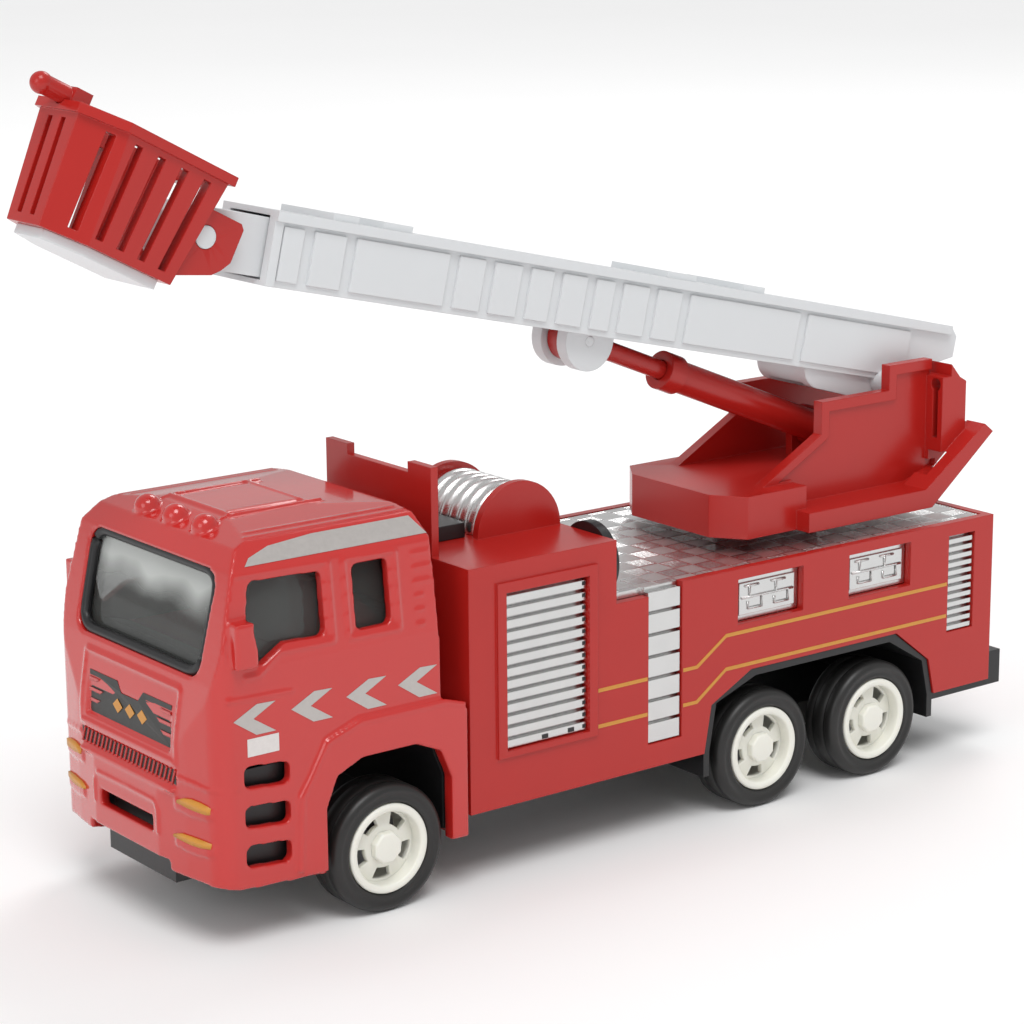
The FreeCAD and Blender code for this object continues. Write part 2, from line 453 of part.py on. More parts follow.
def rear_body():
    m = Moulding("rear_body_body")
    m.add([[("body_rear_x", "body_bottom"), ("box_front_x", "body_bottom"), ("box_front_x", "box_top"),
            ("box_rear_x", "box_top"), ("box_rear_x", "deck_top"), ("body_rear_x", "deck_top")]], "2 * body_half")
    frame = "louvre_frame"
    m.add([box("louvre_rear_x - " + frame, "louvre_front_x + " + frame, "louvre_low - 0.9",
               "louvre_high + " + frame)], "2 * (body_half + louvre_proud)")
    m.add([box("box_front_x - fence_thick", "box_front_x", "box_top - body_wall", "fence_post")], "2 * fence_half")
    m.add([("reel_x", "box_top", "cheek_radius")], "2 * cheek_half")
    m.cut([box("reel_x - cheek_radius - 1", "reel_x + cheek_radius + 1", "box_top", "fence_post")],
          "2 * (cheek_half - cheek_thick)")
    m.cut([box("box_front_x - fence_thick - 1", "box_front_x + 1", "fence_rail", "fence_post + 1")],
          "2 * fence_gate_half")
    inner = "2 * (body_half - body_wall)"
    m.cut([box("box_rear_x + body_wall", "box_front_x - body_wall", "body_bottom - 1", "box_top - body_wall")], inner)
    m.cut([box("body_rear_x + body_wall", "box_rear_x", "body_bottom - 1", "deck_top + 1")], inner)
    m.cut([box("box_rear_x - 1", "box_rear_x + body_wall + 1", "body_bottom - 1", "deck_top")], inner)
    m.cut([rear_arch("part_gap")], "2 * body_half + 4")
    m.cut([box(*window) for window in WINDOWS.values()], "2 * body_half + 4")
    m.cut([box("ladder_front_x - 1", "box_rear_x", "deck_top - 1.2", "deck_top + 1")], "2 * body_half + 4")
    m.cut_between("plan", [box("reel_x - tongue_x", "reel_x + tongue_x", "-tongue_y", "tongue_y")],
                  "box_top - body_wall - 1", "box_top + 1")
    m.add_between("plan", [("mid_screw_x", "0", "boss_radius")], "frame_top + part_gap",
                  "box_top - body_wall - tongue_depth")
    m.add_between("front", [box("-boss_radius", "boss_radius", "frame_top + 12", "box_top - body_wall - tongue_depth")],
                  "mid_screw_x", "box_front_x - body_wall / 2")
    m.add_between("plan", [("rear_screw_x", "0", "boss_radius")], "frame_top + part_gap", "screw_reach + 8")
    for x in ("mid_screw_x", "rear_screw_x"):
        m.cut_between("plan", [(x, "0", "screw_radius")], "frame_top - 1", "screw_reach + 1")
    keep(m.body, "rear_body")


def slat_boxes(window, count, fill):
    """Level slats across a window, each filling a share of its pitch."""
    x0, x1, z0, z1 = window
    made = []
    for k in range(count):
        pitch = "((%s) - (%s) - 2 * window_gap) / %d" % (z1, z0, count)
        low = "%s + window_gap + %d * %s" % (z0, k, pitch)
        made.append(box(x0 + " + window_gap", x1 + " - window_gap", low, "%s + %g * %s" % (low, fill, pitch)))
    return made


def deck_insert():
    m = Moulding("deck_insert_body")
    top = "deck_top"
    m.add([[("insert_rear_x", "insert_bottom"), ("insert_front_x", "insert_bottom"),
            ("insert_front_x", "insert_top"), ("box_rear_x + body_wall + part_gap", "insert_top"),
            ("box_rear_x + body_wall + part_gap", top + " - part_gap"), ("insert_rear_x", top + " - part_gap")]],
          "2 * insert_half")
    m.cut([box("box_rear_x - 0.1", "box_rear_x + body_wall + part_gap", top + " - 0.2", top + " + 1")],
          "2 * insert_half + 1")
    plates = []
    for name in ("louvre", "ladder", "panel_a", "panel_b", "grille"):
        x0, x1, z0, z1 = WINDOWS[name]
        z1 = "deck_top - part_gap" if name == "ladder" else z1 + " - window_gap"
        plates.append(box(x0 + " + window_gap", x1 + " - window_gap", z0 + " + window_gap", z1))
    m.add(plates, "2 * (insert_half + (panel_face_half - insert_half) * 0.4)")
    inset = "1.0"
    for name in ("panel_a", "panel_b"):
        x0, x1, z0, z1 = WINDOWS[name]
        m.add([box("%s + %s" % (x0, inset), "%s - %s" % (x1, inset), "%s + %s" % (z0, inset),
                   "%s - %s" % (z1, inset))], "2 * panel_face_half - 0.4")
    rungs = slat_boxes(("ladder_rear_x", "ladder_front_x", "ladder_low", "deck_top - part_gap"), 7, 0.86)
    m.add(rungs, "2 * slat_face_half")
    m.add(slat_boxes(WINDOWS["louvre"], int(size("slat_count")), 0.72), "2 * slat_face_half")
    m.add(slat_boxes(WINDOWS["grille"], int(size("fine_slat_count")), 0.6), "2 * slat_face_half")
    inner = "2 * (insert_half - insert_wall)"
    m.cut([box("insert_rear_x - 1", "box_rear_x", "insert_bottom - 1", top + " - part_gap - insert_wall")], inner)
    m.cut([box("box_rear_x - 1", "insert_front_x - insert_wall", "insert_bottom - 1",
               "deck_top - part_gap - insert_wall")], inner)
    m.cut([box("box_rear_x + body_wall + part_gap + insert_wall", "insert_front_x - insert_wall",
               "insert_bottom - 1", "insert_top + 1")], inner)
    m.cut([rear_arch("part_gap + 0.3")], "2 * body_half + 4")
    m.cut([box("insert_front_x - insert_wall - 1", "insert_front_x + 1", "frame_top", "insert_top + 1")],
          "2 * boss_radius + 1")
    m.add_between("plan", [("turret_x", "0", "washer_radius")], "post_bottom + 0.3", "deck_top - part_gap - 0.5")
    m.cut_between("plan", [("turret_x", "0", "post_radius + post_play")], "post_bottom - 1", "deck_top + 1")
    keep(m.body, "deck_insert")


def hose_reel():
    barrel = cylinder("reel_core", "coil_circle", "2 * (cheek_half - cheek_thick - part_gap)", x="reel_x",
                      y="-(cheek_half - cheek_thick - part_gap)", z="box_top", along="y")
    coils = [barrel]
    count = int(size("coil_count"))
    for k in range(count):
        ring = doc.addObject("Part::Torus", "coil_%d" % k)
        bind(ring, "Radius1", "coil_circle")
        bind(ring, "Radius2", "coil_tube")
        ring.Placement = FreeCAD.Placement(V(0, 0, 0), FreeCAD.Rotation(V(1, 0, 0), 90))
        place(ring, x="reel_x", y="(%g) * coil_pitch" % (k - (count - 1) / 2), z="box_top")
        coils.append(ring)
    wound = boolean("Fuse", "reel_wound", *coils)
    below = block("reel_below", "reel_x - cheek_radius - 2", "reel_x + cheek_radius + 2", "-cheek_half", "cheek_half",
                  "box_top - cheek_radius - 2", "box_top + part_gap")
    upper = boolean("Cut", "reel_upper", wound, below)
    tongue = block("reel_tongue", "reel_x - tongue_x + part_gap", "reel_x + tongue_x - part_gap",
                   "-tongue_y + part_gap", "tongue_y - part_gap", "box_top - tongue_depth", "box_top + 2")
    keep(boolean("Fuse", "reel_solid", upper, tongue), "hose_reel")


def reel_fittings():
    cradle = block("cradle_block", "cradle_rear_x", "cradle_front_x", "-cradle_half", "cradle_half",
                   "box_top + part_gap / 2", "box_top + cradle_tall")
    keep(cradle, "reel_cradle")
    disc = cylinder("coupling_disc_solid", "coupling_radius", "coupling_thick",
                    x="box_rear_x - part_gap - coupling_thick", y="coupling_y", z="coupling_z", along="x")
    deck = block("coupling_deck", "box_rear_x - 6", "box_rear_x", "coupling_y - 10", "coupling_y + 10",
                 "deck_top - 12", "deck_top + part_gap / 2")
    keep(boolean("Cut", "coupling_trim", disc, deck), "coupling_disc")


# ---------------------------------------------------------------------------
# Cab: die-cast shell, clear insert, interior
# ---------------------------------------------------------------------------
def cab_volume(name, inset):
    """The cab's outer form moved inwards by inset: side, front and plan views intersected."""
    i = " - (%s)" % inset
    o = " + (%s)" % inset
    side = Moulding(name + "_side")
    side.add([[("cab_front_x" + i, "cab_chin"), ("cab_front_x" + i, "brow_z"), ("badge_x" + i, "badge_z"),
               ("screen_low_x" + i, "screen_low_z"), ("screen_high_x" + i, "screen_high_z"),
               ("roof_lip_x" + i, "roof_lip_z" + i), ("roof_front_x" + i, "roof_front_z" + i),
               ("roof_mid_x", "roof_top" + i), ("roof_rear_x" + o, "roof_rear_z" + i),
               ("cab_rear_x + 0.6" + o, "gutter_z" + i), ("cab_rear_x" + o, "skirt_shoulder"),
               ("cab_skirt_rear_x" + o, "skirt_top" + i), ("cab_skirt_rear_x" + o, "cab_side_bottom"),
               ("fender_front_x + 1", "cab_side_bottom"), ("screen_low_x - 3", "cab_side_bottom + 0.6")]],
             "2 * cab_half + 4")
    front = Moulding(name + "_front")
    front.add_between("front", [mirrored([("cab_half" + i, "0"), ("cab_half" + i, "belt_z"),
                                          ("gutter_half" + i, "gutter_z"), ("eave_half" + i, "eave_z" + i),
                                          ("crown_half", "roof_top" + i)])], "cab_skirt_rear_x - 5", "cab_front_x + 5")
    plan = Moulding(name + "_plan")
    flank = "cab_half" + i
    nose = [("cab_skirt_rear_x - 5", flank), ("cab_front_x - cab_sweep" + i, flank),
            ("cab_front_x - cab_bow" + i, "cab_half * 0.68"), ("cab_front_x" + i, "cab_half * 0.4")]
    plan.add_between("plan", [nose + [(x, "-(%s)" % y) for x, y in reversed(nose)]], "0", "roof_top + 5")
    plan.round_edges("cab_corner" + i, lambda e: e.BoundBox.ZLength > 10 and e.BoundBox.XMin > size("roof_front_x")
                     and e.BoundBox.YMax ** 2 > size(flank) ** 2 - 1)
    return boolean("Common", name, side.body, front.body, plan.body)


def cab_shell():
    outer = cab_volume("cab_outer", "0")
    cavity = cab_volume("cab_cavity", "cab_wall")
    floor_cut = block("cab_floor_cut", "cab_skirt_rear_x + cab_wall", "cab_front_x - 2 * cab_wall",
                      "-(cab_half - cab_wall)", "cab_half - cab_wall", "0", "cab_front_bottom + 1")
    flare = Moulding("cab_flare")
    flare.add([[("cab_skirt_rear_x", "cab_side_bottom"), ("fender_front_x + 3.9", "cab_side_bottom + 0.5"),
                ("fender_front_x + 3.4", "fender_top - 3.5"), ("fender_front_x - 0.8", "skirt_shoulder - 1.4"),
                ("fender_front_x - 5.5", "skirt_shoulder"), ("cab_rear_x", "skirt_shoulder"),
                ("cab_skirt_rear_x", "skirt_top")]], "2 * flare_half")
    lamps = []
    for k in (-1, 0, 1):
        dome = doc.addObject("Part::Sphere", "roof_lamp_%d" % (k + 1))
        bind(dome, "Radius", "lamp_radius")
        place(dome, "lamp_x", "%d * lamp_spacing" % k, "lamp_z")
        lamps.append(dome)
    hatch = block("roof_hatch", "hatch_rear_x", "hatch_front_x", "-hatch_half", "hatch_half", "roof_top - 1",
                  "roof_top + hatch_proud")
    mirrors = []
    for side, y0, y1 in (("left", "cab_half - 1", "mirror_reach"), ("right", "-mirror_reach", "1 - cab_half")):
        mirrors.append(block("mirror_" + side, "mirror_rear_x", "mirror_front_x", y0, y1, "mirror_low", "mirror_high"))
    solid = boolean("Fuse", "cab_solid", outer, flare.body, hatch, *(lamps + mirrors))
    openings = Moulding("cab_openings")
    openings.add([front_arch()], "2 * flare_half + 2")
    sides = Moulding("cab_side_openings")
    sides.add([[("door_window_front_x - 0.9", "window_head"), ("door_window_rear_x", "window_head - 0.4"),
                ("door_window_rear_x", "window_sill"), ("door_window_rear_x + 6.3", "window_sill + 0.2"),
                ("door_window_front_x - 1.2", "window_dip"), ("door_window_front_x", "window_sill + 3.2")],
               box("crew_window_rear_x", "crew_window_front_x", "window_sill - 0.2", "window_head - 0.3")]
              + [[("vent_rear_x", low), ("vent_front_x", low + " + vent_rise"),
                  ("vent_front_x", low + " + vent_rise + vent_tall"), ("vent_rear_x", low + " + vent_tall")]
                 for low in ("vent_low + %d * vent_step" % k for k in range(3))], "2 * flare_half + 2")
    sides.round_edges("window_corner", lambda e: e.BoundBox.YLength > 10)
    screen = Moulding("cab_screen_opening")
    screen.add_between("front", [mirrored([("screen_half_low", "screen_sill"), ("screen_half_high", "screen_head")])],
                       "screen_high_x - 4", "cab_front_x + 2")
    screen.round_edges("screen_corner", lambda e: e.BoundBox.XLength > 3)
    relief = Moulding("cab_front_relief")
    relief.add_between("front", [box("-slot_half", "slot_half", "slot_low", "slot_high")],
                       "cab_front_x - cab_wall - 1", "cab_front_x + 2")
    strip = Moulding("cab_grille_relief")
    strip.add_between("front", [box("-grille_half", "grille_half", "grille_strip_low", "grille_strip_high")],
                      "cab_front_x - 0.35 - relief", "cab_front_x + 2")
    badge = Moulding("cab_badge_relief")
    badge.add_between("front", [box("-badge_half", "badge_half", "badge_low", "badge_high")],
                      "badge_x - relief", "cab_front_x + 2")
    chin = block("cab_chin_cut", "screen_low_x - 3.5", "cab_front_x + 1", "-chin_half", "chin_half", "0",
                 "cab_front_bottom")
    rail_cut = block("cab_rail_cut", "cab_skirt_rear_x - 1", "cab_skirt_rear_x + cab_wall + 1",
                     "-frame_half - part_gap", "frame_half + part_gap", "0", "frame_top + part_gap")
    shell = boolean("Cut", "cab_cut", solid, cavity, floor_cut, rail_cut, chin, openings.body, sides.body, screen.body,
                    relief.body, strip.body, badge.body)
    boss = cylinder("cab_boss", "boss_radius", "screw_reach + 3 - frame_top", x="front_screw_x",
                    z="frame_top + part_gap")
    web = block("cab_boss_web", "front_screw_x", "cab_front_x - cab_wall / 2", "-cab_wall", "cab_wall",
                "slot_high + 0.4", "screw_reach + 3")
    pilot = cylinder("cab_pilot", "screw_radius", "screw_reach + 2 - frame_top", x="front_screw_x", z="frame_top - 1")
    joined = boolean("Fuse", "cab_joined", shell, boss, web)
    keep(boolean("Cut", "cab_shell_solid", joined, pilot), "cab_shell")


def cab_glazing():
    outer = cab_volume("glass_outer", "cab_wall + glass_gap")
    inner = cab_volume("glass_inner", "cab_wall + glass_gap + glass_thick")
    band = block("glass_band", "cab_rear_x + cab_wall + glass_gap + 1", "cab_front_x", "-cab_half", "cab_half",
                 "glass_low", "glass_high")
    shell = boolean("Cut", "glass_shell", outer, inner)
    keep(boolean("Common", "cab_glazing_solid", shell, band), "cab_glazing")


def cab_interior():
    m = Moulding("interior_body")
    top = "floor_low + floor_thick"
    m.add([[("cab_rear_x + 3.2", "floor_low"), ("screen_low_x - 3.6", "floor_low"),
            ("screen_low_x - 3.6", "dash_top - 4"), ("screen_low_x - 5.0", "dash_top"),
            ("screen_low_x - 9.0", "dash_top - 1.2"), ("screen_low_x - 8.0", "dash_top - 6"),
            ("screen_low_x - 8.0", top), ("cab_rear_x + 15.0", top), ("cab_rear_x + 15.0", "seat_top - 0.8"),
            ("cab_rear_x + 14.2", "seat_top"), ("cab_rear_x + 8.2", "seat_top - 0.6"),
            ("cab_rear_x + 6.6", "seat_back_top"), ("cab_rear_x + 4.4", "seat_back_top"),
            ("cab_rear_x + 5.2", "seat_top - 3"), ("cab_rear_x + 3.2", top)]], "2 * interior_half")
    m.cut([box("cab_rear_x + 3.0", "cab_rear_x + 16.0", top, "seat_back_top + 1")], "4.4")
    keep(m.body, "cab_interior")


def steering_wheel():
    ring = doc.addObject("Part::Torus", "steering_ring")
    bind(ring, "Radius1", "steering_circle")
    bind(ring, "Radius2", "steering_tube")
    spoke = doc.addObject("Part::Box", "steering_spoke")
    bind(spoke, "Length", "2 * steering_tube")
    bind(spoke, "Width", "2 * steering_circle")
    bind(spoke, "Height", "steering_tube")
    place(spoke, "-steering_tube", "-steering_circle", "-steering_tube / 2")
    column = doc.addObject("Part::Cylinder", "steering_column")
    bind(column, "Radius", "steering_tube * 1.5")
    bind(column, "Height", "steering_circle * 0.6")
    place(column, z="-steering_circle * 0.6")
    wheel = boolean("Fuse", "steering_flat", ring, spoke, column)
    turned = doc.addObject("Part::Compound", "steering_turned")
    turned.Links = [wheel]
    turned.Placement = FreeCAD.Placement(V(0, 0, 0), FreeCAD.Rotation(V(0, -1, 0), 1))
    bind(turned, "Placement.Rotation.Angle", "steering_tilt")
    place(turned, "steering_x", "steering_y", "steering_z")
    keep(turned, "steering_wheel")


# ---------------------------------------------------------------------------
# Turret: turntable disc and post, retaining washer and screw, red turret
# ---------------------------------------------------------------------------
def turntable():
    disc = cylinder("turntable_plate", "disc_radius", "disc_top - deck_top", x="turret_x", z="deck_top")
    post = cylinder("turntable_post", "post_radius", "deck_top + 0.5 - post_bottom", x="turret_x", z="post_bottom")
    pilot = cylinder("turntable_pilot", "screw_radius", "6", x="turret_x", z="post_bottom - 1")
    keep(boolean("Cut", "turntable_cut", boolean("Fuse", "turntable_solid", disc, post), pilot), "turntable_disc")
    low = "post_bottom - washer_thick"
    ring = cylinder("washer_plate", "washer_radius", "washer_thick", x="turret_x", z=low)
    hole = cylinder("washer_hole", "screw_radius + screw_clear", "washer_thick + 2", x="turret_x", z=low + " - 1")
    keep(boolean("Cut", "washer_cut", ring, hole), "turret_washer")
    head = cylinder("turret_screw_head", "screw_head_radius", "screw_head_deep", x="turret_x",
                    z=low + " - screw_head_deep")
    shank = cylinder("turret_screw_shank", "screw_radius", "washer_thick + 4", x="turret_x", z=low)
    keep(boolean("Fuse", "turret_screw_solid", head, shank), "turret_screw")


def turret():
    m = Moulding("turret_body")
    m.add_between("plan", [[("slab_front_x", "-slab_nose_half"), ("slab_front_x", "slab_nose_half"),
                            ("slab_cheek_x", "slab_half"), ("slab_rear_x", "slab_half"),
                            ("slab_rear_x", "-slab_half"), ("slab_cheek_x", "-slab_half")]], "slab_bottom", "slab_top")
    m.add([[("slab_rear_x + 2", "slab_bottom"), ("flange_rear_x", "slab_bottom"), ("tail_x", "tail_top - 1.4"),
            ("tail_x + 1.8", "tail_top"), ("flange_rear_x + 1.4", "slab_bottom + flange_thick"),
            ("slab_rear_x + 2", "slab_bottom + flange_thick")]], "2 * flange_half")
    m.add([[("wall_toe_x", "slab_top - 0.5"), ("wall_toe_x", "slab_top"), ("wall_knee_x", "wall_knee_z"),
            ("wall_knee_x", "wall_front_top"), ("wall_step_x", "wall_front_top"), ("wall_step_x", "wall_rear_top"),
            ("wall_rear_x", "wall_rear_top"), ("wall_rear_x", "slab_bottom + 4.5"),
            ("flange_rear_x", "slab_bottom + 1"), ("slab_rear_x", "slab_bottom + 1")]], "2 * wall_half")
    w = "nose_wall"
    pocket_rear = "turret_x + disc_radius + 0.6"
    pocket = [("slab_front_x - " + w, "slab_nose_half - 0.5"), ("slab_cheek_x - 0.6", "slab_half - " + w),
              (pocket_rear, "slab_half - " + w)]
    m.cut_between("plan", [pocket + [(x, "-(%s)" % y) for x, y in reversed(pocket)]], "slab_bottom - 1",
                  "slab_top - " + w)
    b = "wall_border"
    sunk = [("wall_toe_x - 3.2", "slab_top + 0.3"), ("wall_knee_x - " + b, "wall_knee_z - 0.6"),
            ("wall_knee_x - " + b, "wall_front_top - " + b), ("wall_step_x - " + b, "wall_front_top - " + b),
            ("wall_step_x - " + b, "wall_rear_top - " + b), ("wall_rear_x - 1", "wall_rear_top - " + b),
            ("wall_rear_x - 1", "slab_bottom + flange_thick + 2"), ("flange_rear_x", "slab_bottom + flange_thick"),
            ("slab_rear_x", "slab_bottom + flange_thick"), ("slab_rear_x", "slab_top + 0.3")]
    ring = Moulding("turret_sink")
    ring.add([sunk], "2 * (wall_half + 1)")
    ring.cut([box("tail_x - 5", "slab_front_x", "slab_bottom - 1", "wall_rear_top + 5")],
             "2 * (wall_half - wall_sink)")
    gussets = Moulding("turret_gussets")
    gussets.add([[("gusset_front_x", "slab_bottom + 5"), ("gusset_front_x", "gusset_top"),
                  ("gusset_front_x - 1.9", "gusset_top - 2.2"), ("gusset_rear_x", "gusset_top - 3.0"),
                  ("gusset_rear_x", "tail_top - 2.5")], box("gusset_front_x", "wall_rear_x + 0.6",
                                                          "slab_bottom + 6", "wall_rear_top - 2.5")],
                "2 * gusset_half")
    gussets.cut([box("tail_x - 5", "wall_rear_x + 3", "slab_bottom", "wall_rear_top + 5")],
                "2 * wall_inner_half")
    slots = Moulding("turret_slots")
    middle = "(wall_half + gusset_half) / 2"
    for side in ("", "-"):
        across = side + middle
        slots.add_between("front", [(across, "gusset_top - 3.2", "1.0")], "gusset_rear_x - 2", "gusset_front_x + 2")
        slots.add_between("front", [box(across + " - 0.5", across + " + 0.5", "tail_top - 2", "gusset_top - 3.2")],
                          "gusset_rear_x - 2", "gusset_front_x + 2")
    channel = Moulding("turret_channel")
    channel.add([box("tail_x - 2", "slab_front_x", "slab_top", "wall_rear_top + 2")], "2 * wall_inner_half")
    channel.add([[("flange_rear_x - 3.0", "slab_bottom + 4"), ("flange_rear_x - 3.0", "slab_top + 2"),
                  ("tail_x - 2", "tail_top + 3"), ("tail_x - 2", "slab_bottom + 4")]], "2 * tail_notch_half")
    holes = Moulding("turret_tail_holes")
    holes.add_between("front", [box("wall_half + 0.2", "flange_half - 2.4", "slab_bottom + 4.6", "slab_bottom + 7.6"),
                                box("2.4 - flange_half", "-wall_half - 0.2", "slab_bottom + 4.6",
                                    "slab_bottom + 7.6")], "tail_x - 2", "flange_rear_x + 3")
    sockets = Moulding("turret_sockets")
    sockets.add([("boom_pivot_x", "boom_pivot_z", "trunnion_radius + trunnion_play")],
                "2 * (wall_inner_half + socket_depth)")
    hull = boolean("Cut", "turret_hull", m.body, ring.body)
    braced = boolean("Fuse", "turret_braced", hull, gussets.body)
    opened = boolean("Cut", "turret_opened", braced, slots.body, channel.body, holes.body, sockets.body)
    lugs = Moulding("turret_ram_lugs")
    lugs.add([box("ram_lug_rear_x", "ram_lug_front_x", "slab_top - 1", "ram_foot_z"),
              ], "2 * ram_lug_half")
    lugs.add([("ram_foot_x", "ram_foot_z", "(ram_lug_front_x - ram_lug_rear_x) / 2")], "2 * ram_lug_half")
    lugs.cut([box("ram_lug_rear_x - 2", "ram_lug_front_x + 2", "slab_top", "wall_rear_top")], "2 * ram_lug_inner")
    lugs.cut([("ram_foot_x", "ram_foot_z", "foot_pin_radius")], "2 * ram_lug_half + 2")
    keep(boolean("Fuse", "turret_solid", opened, lugs.body), "turret")


# ---------------------------------------------------------------------------
# Boom: outer section, sliding inner section
# ---------------------------------------------------------------------------
RIBS = (110.8, 104.0, 86.6, 80.3, 73.8, 68.0, 61.8, 56.6, 50.0, 43.6, 19.4)
RIB_GAP = 1.7
BUMPS = ((103.4, 107.6), (94.5, 99.3), (42.4, 48.2), (28.6, 33.0))


def boom_outer():
    m = Moulding("boom_outer_body")
    m.add([[("boom_rear", "boom_tail_low"), ("boom_rear + 3.2", "boom_tail_low - 1.2"),
            ("-knuckle_radius", "boom_low"), ("boom_front", "boom_low"), ("boom_front", "boom_high"),
            ("boom_rear + 1.5", "boom_high"), ("boom_rear", "boom_high - 1.5")]], "2 * (boom_half - boom_skin)")
    edges = ["boom_front - 1.6"]
    for rib in RIBS:
        edges += ["%g" % (rib + RIB_GAP / 2), "%g" % (rib - RIB_GAP / 2)]
    edges.append("-4.0")
    m.add([box(edges[i + 1], edges[i], "rib_low", "rail_low - 0.5") for i in range(0, len(edges), 2)],
          "2 * boom_half")
    m.add([box("boom_front - 1.4", "boom_front", "boom_low", "boom_high")], "2 * boom_half")
    m.add([box("boom_rear + 2.0", "boom_front", "rail_low", "boom_high")], "2 * (boom_half + rail_proud)")
    m.add([box("%g" % a, "%g" % b, "boom_high - 0.5", "boom_high + 0.9") for a, b in BUMPS], "2 * boom_half")
    m.add([("0", "0", "knuckle_radius"),
           ("knuckle_front - knuckle_radius", "knuckle_low + knuckle_radius", "knuckle_radius")], "2 * knuckle_half")
    m.add([[("0", "-knuckle_radius"), ("knuckle_front - knuckle_radius", "knuckle_low"),
            ("knuckle_front", "boom_low + 1"), ("-knuckle_radius", "boom_low + 1")]], "2 * knuckle_half")
    m.add([("0", "0", "trunnion_radius")], "2 * (wall_inner_half + socket_depth - part_gap)")
    lug = "eye_lug_radius"
    m.add([("ram_eye_along", "ram_eye_high", lug)], "2 * eye_lug_half")
    m.add([box("ram_eye_along - " + lug, "ram_eye_along + " + lug, "ram_eye_high", "boom_low + 0.5")],
          "2 * eye_lug_half")
    m.cut([box("boom_bore_rear", "boom_front + 1", "boom_bore_low", "boom_bore_high")], "2 * boom_bore_half")
    m.cut([box("ram_eye_along - %s - 1" % lug, "ram_eye_along + %s + 1" % lug, "ram_eye_high - 6",
               "boom_bore_low + 0.5")], "2 * eye_lug_inner")
    m.cut([box("underslot_rear", "ram_eye_along", "boom_low - 1", "boom_bore_low + 0.5")], "2 * eye_lug_inner")
    m.cut([box("underslot_rear", "collar_relief_front", "boom_low - 1", "boom_bore_low + 0.5")],
          "2 * collar_relief_half")
    m.cut([box("knuckle_radius", "knuckle_front - 1.6", "knuckle_low - 1", "boom_low + 2.2")],
          "2 * (knuckle_half - 1.5)")
    m.cut([("ram_eye_along", "ram_eye_high", "eye_pin_radius")], "2 * boom_half + 4")
    pitch_up(m.body, "boom_pitch", "boom_pivot_x", "boom_pivot_z")
    keep(m.body, "boom_outer")


def boom_inner():
    m = Moulding("boom_inner_body")
    end = "bucket_pin_along + slide_nose"
    m.add([[("slide_rear", "slide_low"), (end + " - 1.4", "slide_low"), (end, "slide_low + 1.4"),
            (end, "slide_high - 1.4"), (end + " - 1.4", "slide_high"), ("slide_rear", "slide_high")]], "2 * slide_half")
    m.cut([box("slide_rear - 1", "bucket_pin_along - 3.5", "slide_low - 1", "slide_high - slide_roof")],
          "2 * slide_hollow_half")
    m.add([("bucket_pin_along", "bucket_pin_high", "bucket_pin_radius")], "2 * bucket_pin_half")
    pitch_up(m.body, "boom_pitch", "boom_pivot_x", "boom_pivot_z")
    keep(m.body, "boom_inner")


# ---------------------------------------------------------------------------
# Ram: barrel on the turret, rod to the boom, two steel pins
# ---------------------------------------------------------------------------
def ram():
    barrel = Moulding("barrel_body")
    barrel.add_between("front", [("0", "0", "barrel_radius")], "0", "barrel_length")
    barrel.add_between("front", [("0", "0", "collar_radius")], "barrel_length - collar_long / 2",
                       "barrel_length + collar_long / 2")
    barrel.add([("0", "0", "foot_half")], "2 * foot_half")
    barrel.cut_between("front", [("0", "0", "barrel_bore")], "foot_half + 1.2", "barrel_length + collar_long")
    barrel.cut([("0", "0", "foot_pin_radius + foot_pin_play")], "4 * foot_half")
    pitch_up(barrel.body, "ram_pitch", "ram_foot_x", "ram_foot_z")
    keep(barrel.body, "ram_barrel")
    rod = Moulding("rod_body")
    rod.add_between("front", [("0", "0", "rod_radius")], "ram_length - rod_reach", "ram_length - eye_radius + 1")
    rod.add([("ram_length", "0", "eye_radius")], "2 * eye_half")
    rod.cut([("ram_length", "0", "eye_pin_radius + eye_slack")], "4 * eye_half")
    pitch_up(rod.body, "ram_pitch", "ram_foot_x", "ram_foot_z")
    keep(rod.body, "ram_rod")
    foot = cylinder("foot_pin", "foot_pin_radius", "2 * ram_lug_half", x="ram_foot_x", y="-ram_lug_half",
                    z="ram_foot_z", along="y")
    keep(foot, "ram_foot_pin")
    eye = Moulding("eye_pin_body")
    eye.add([("ram_eye_along", "ram_eye_high", "eye_pin_radius")], "2 * eye_lug_half")
    pitch_up(eye.body, "boom_pitch", "boom_pivot_x", "boom_pivot_z")
    keep(eye.body, "ram_eye_pin")


# ---------------------------------------------------------------------------
# Bucket: slatted tub with ears, white tray under it, water monitor on its rim
# ---------------------------------------------------------------------------
def loft(name, low_outline, low_z, high_outline, high_z):
    """A ruled solid between two plan outlines at two heights."""
    m = Moulding(name)
    low = m.sketch("plan", [low_outline], low_z)
    high = m.sketch("plan", [high_outline], high_z)
    solid = m.body.newObject("PartDesign::AdditiveLoft", name + "_loft")
    solid.Profile = low
    solid.Sections = [high]
    solid.Ruled = True
    m.body.Tip = solid
    return m


def tub_plan(rear, corner, front, half, nose):
    return [(rear, "-(%s)" % half), (corner, "-(%s)" % half), (front, "-(%s)" % nose), (front, nose),
            (corner, half), (rear, half)]


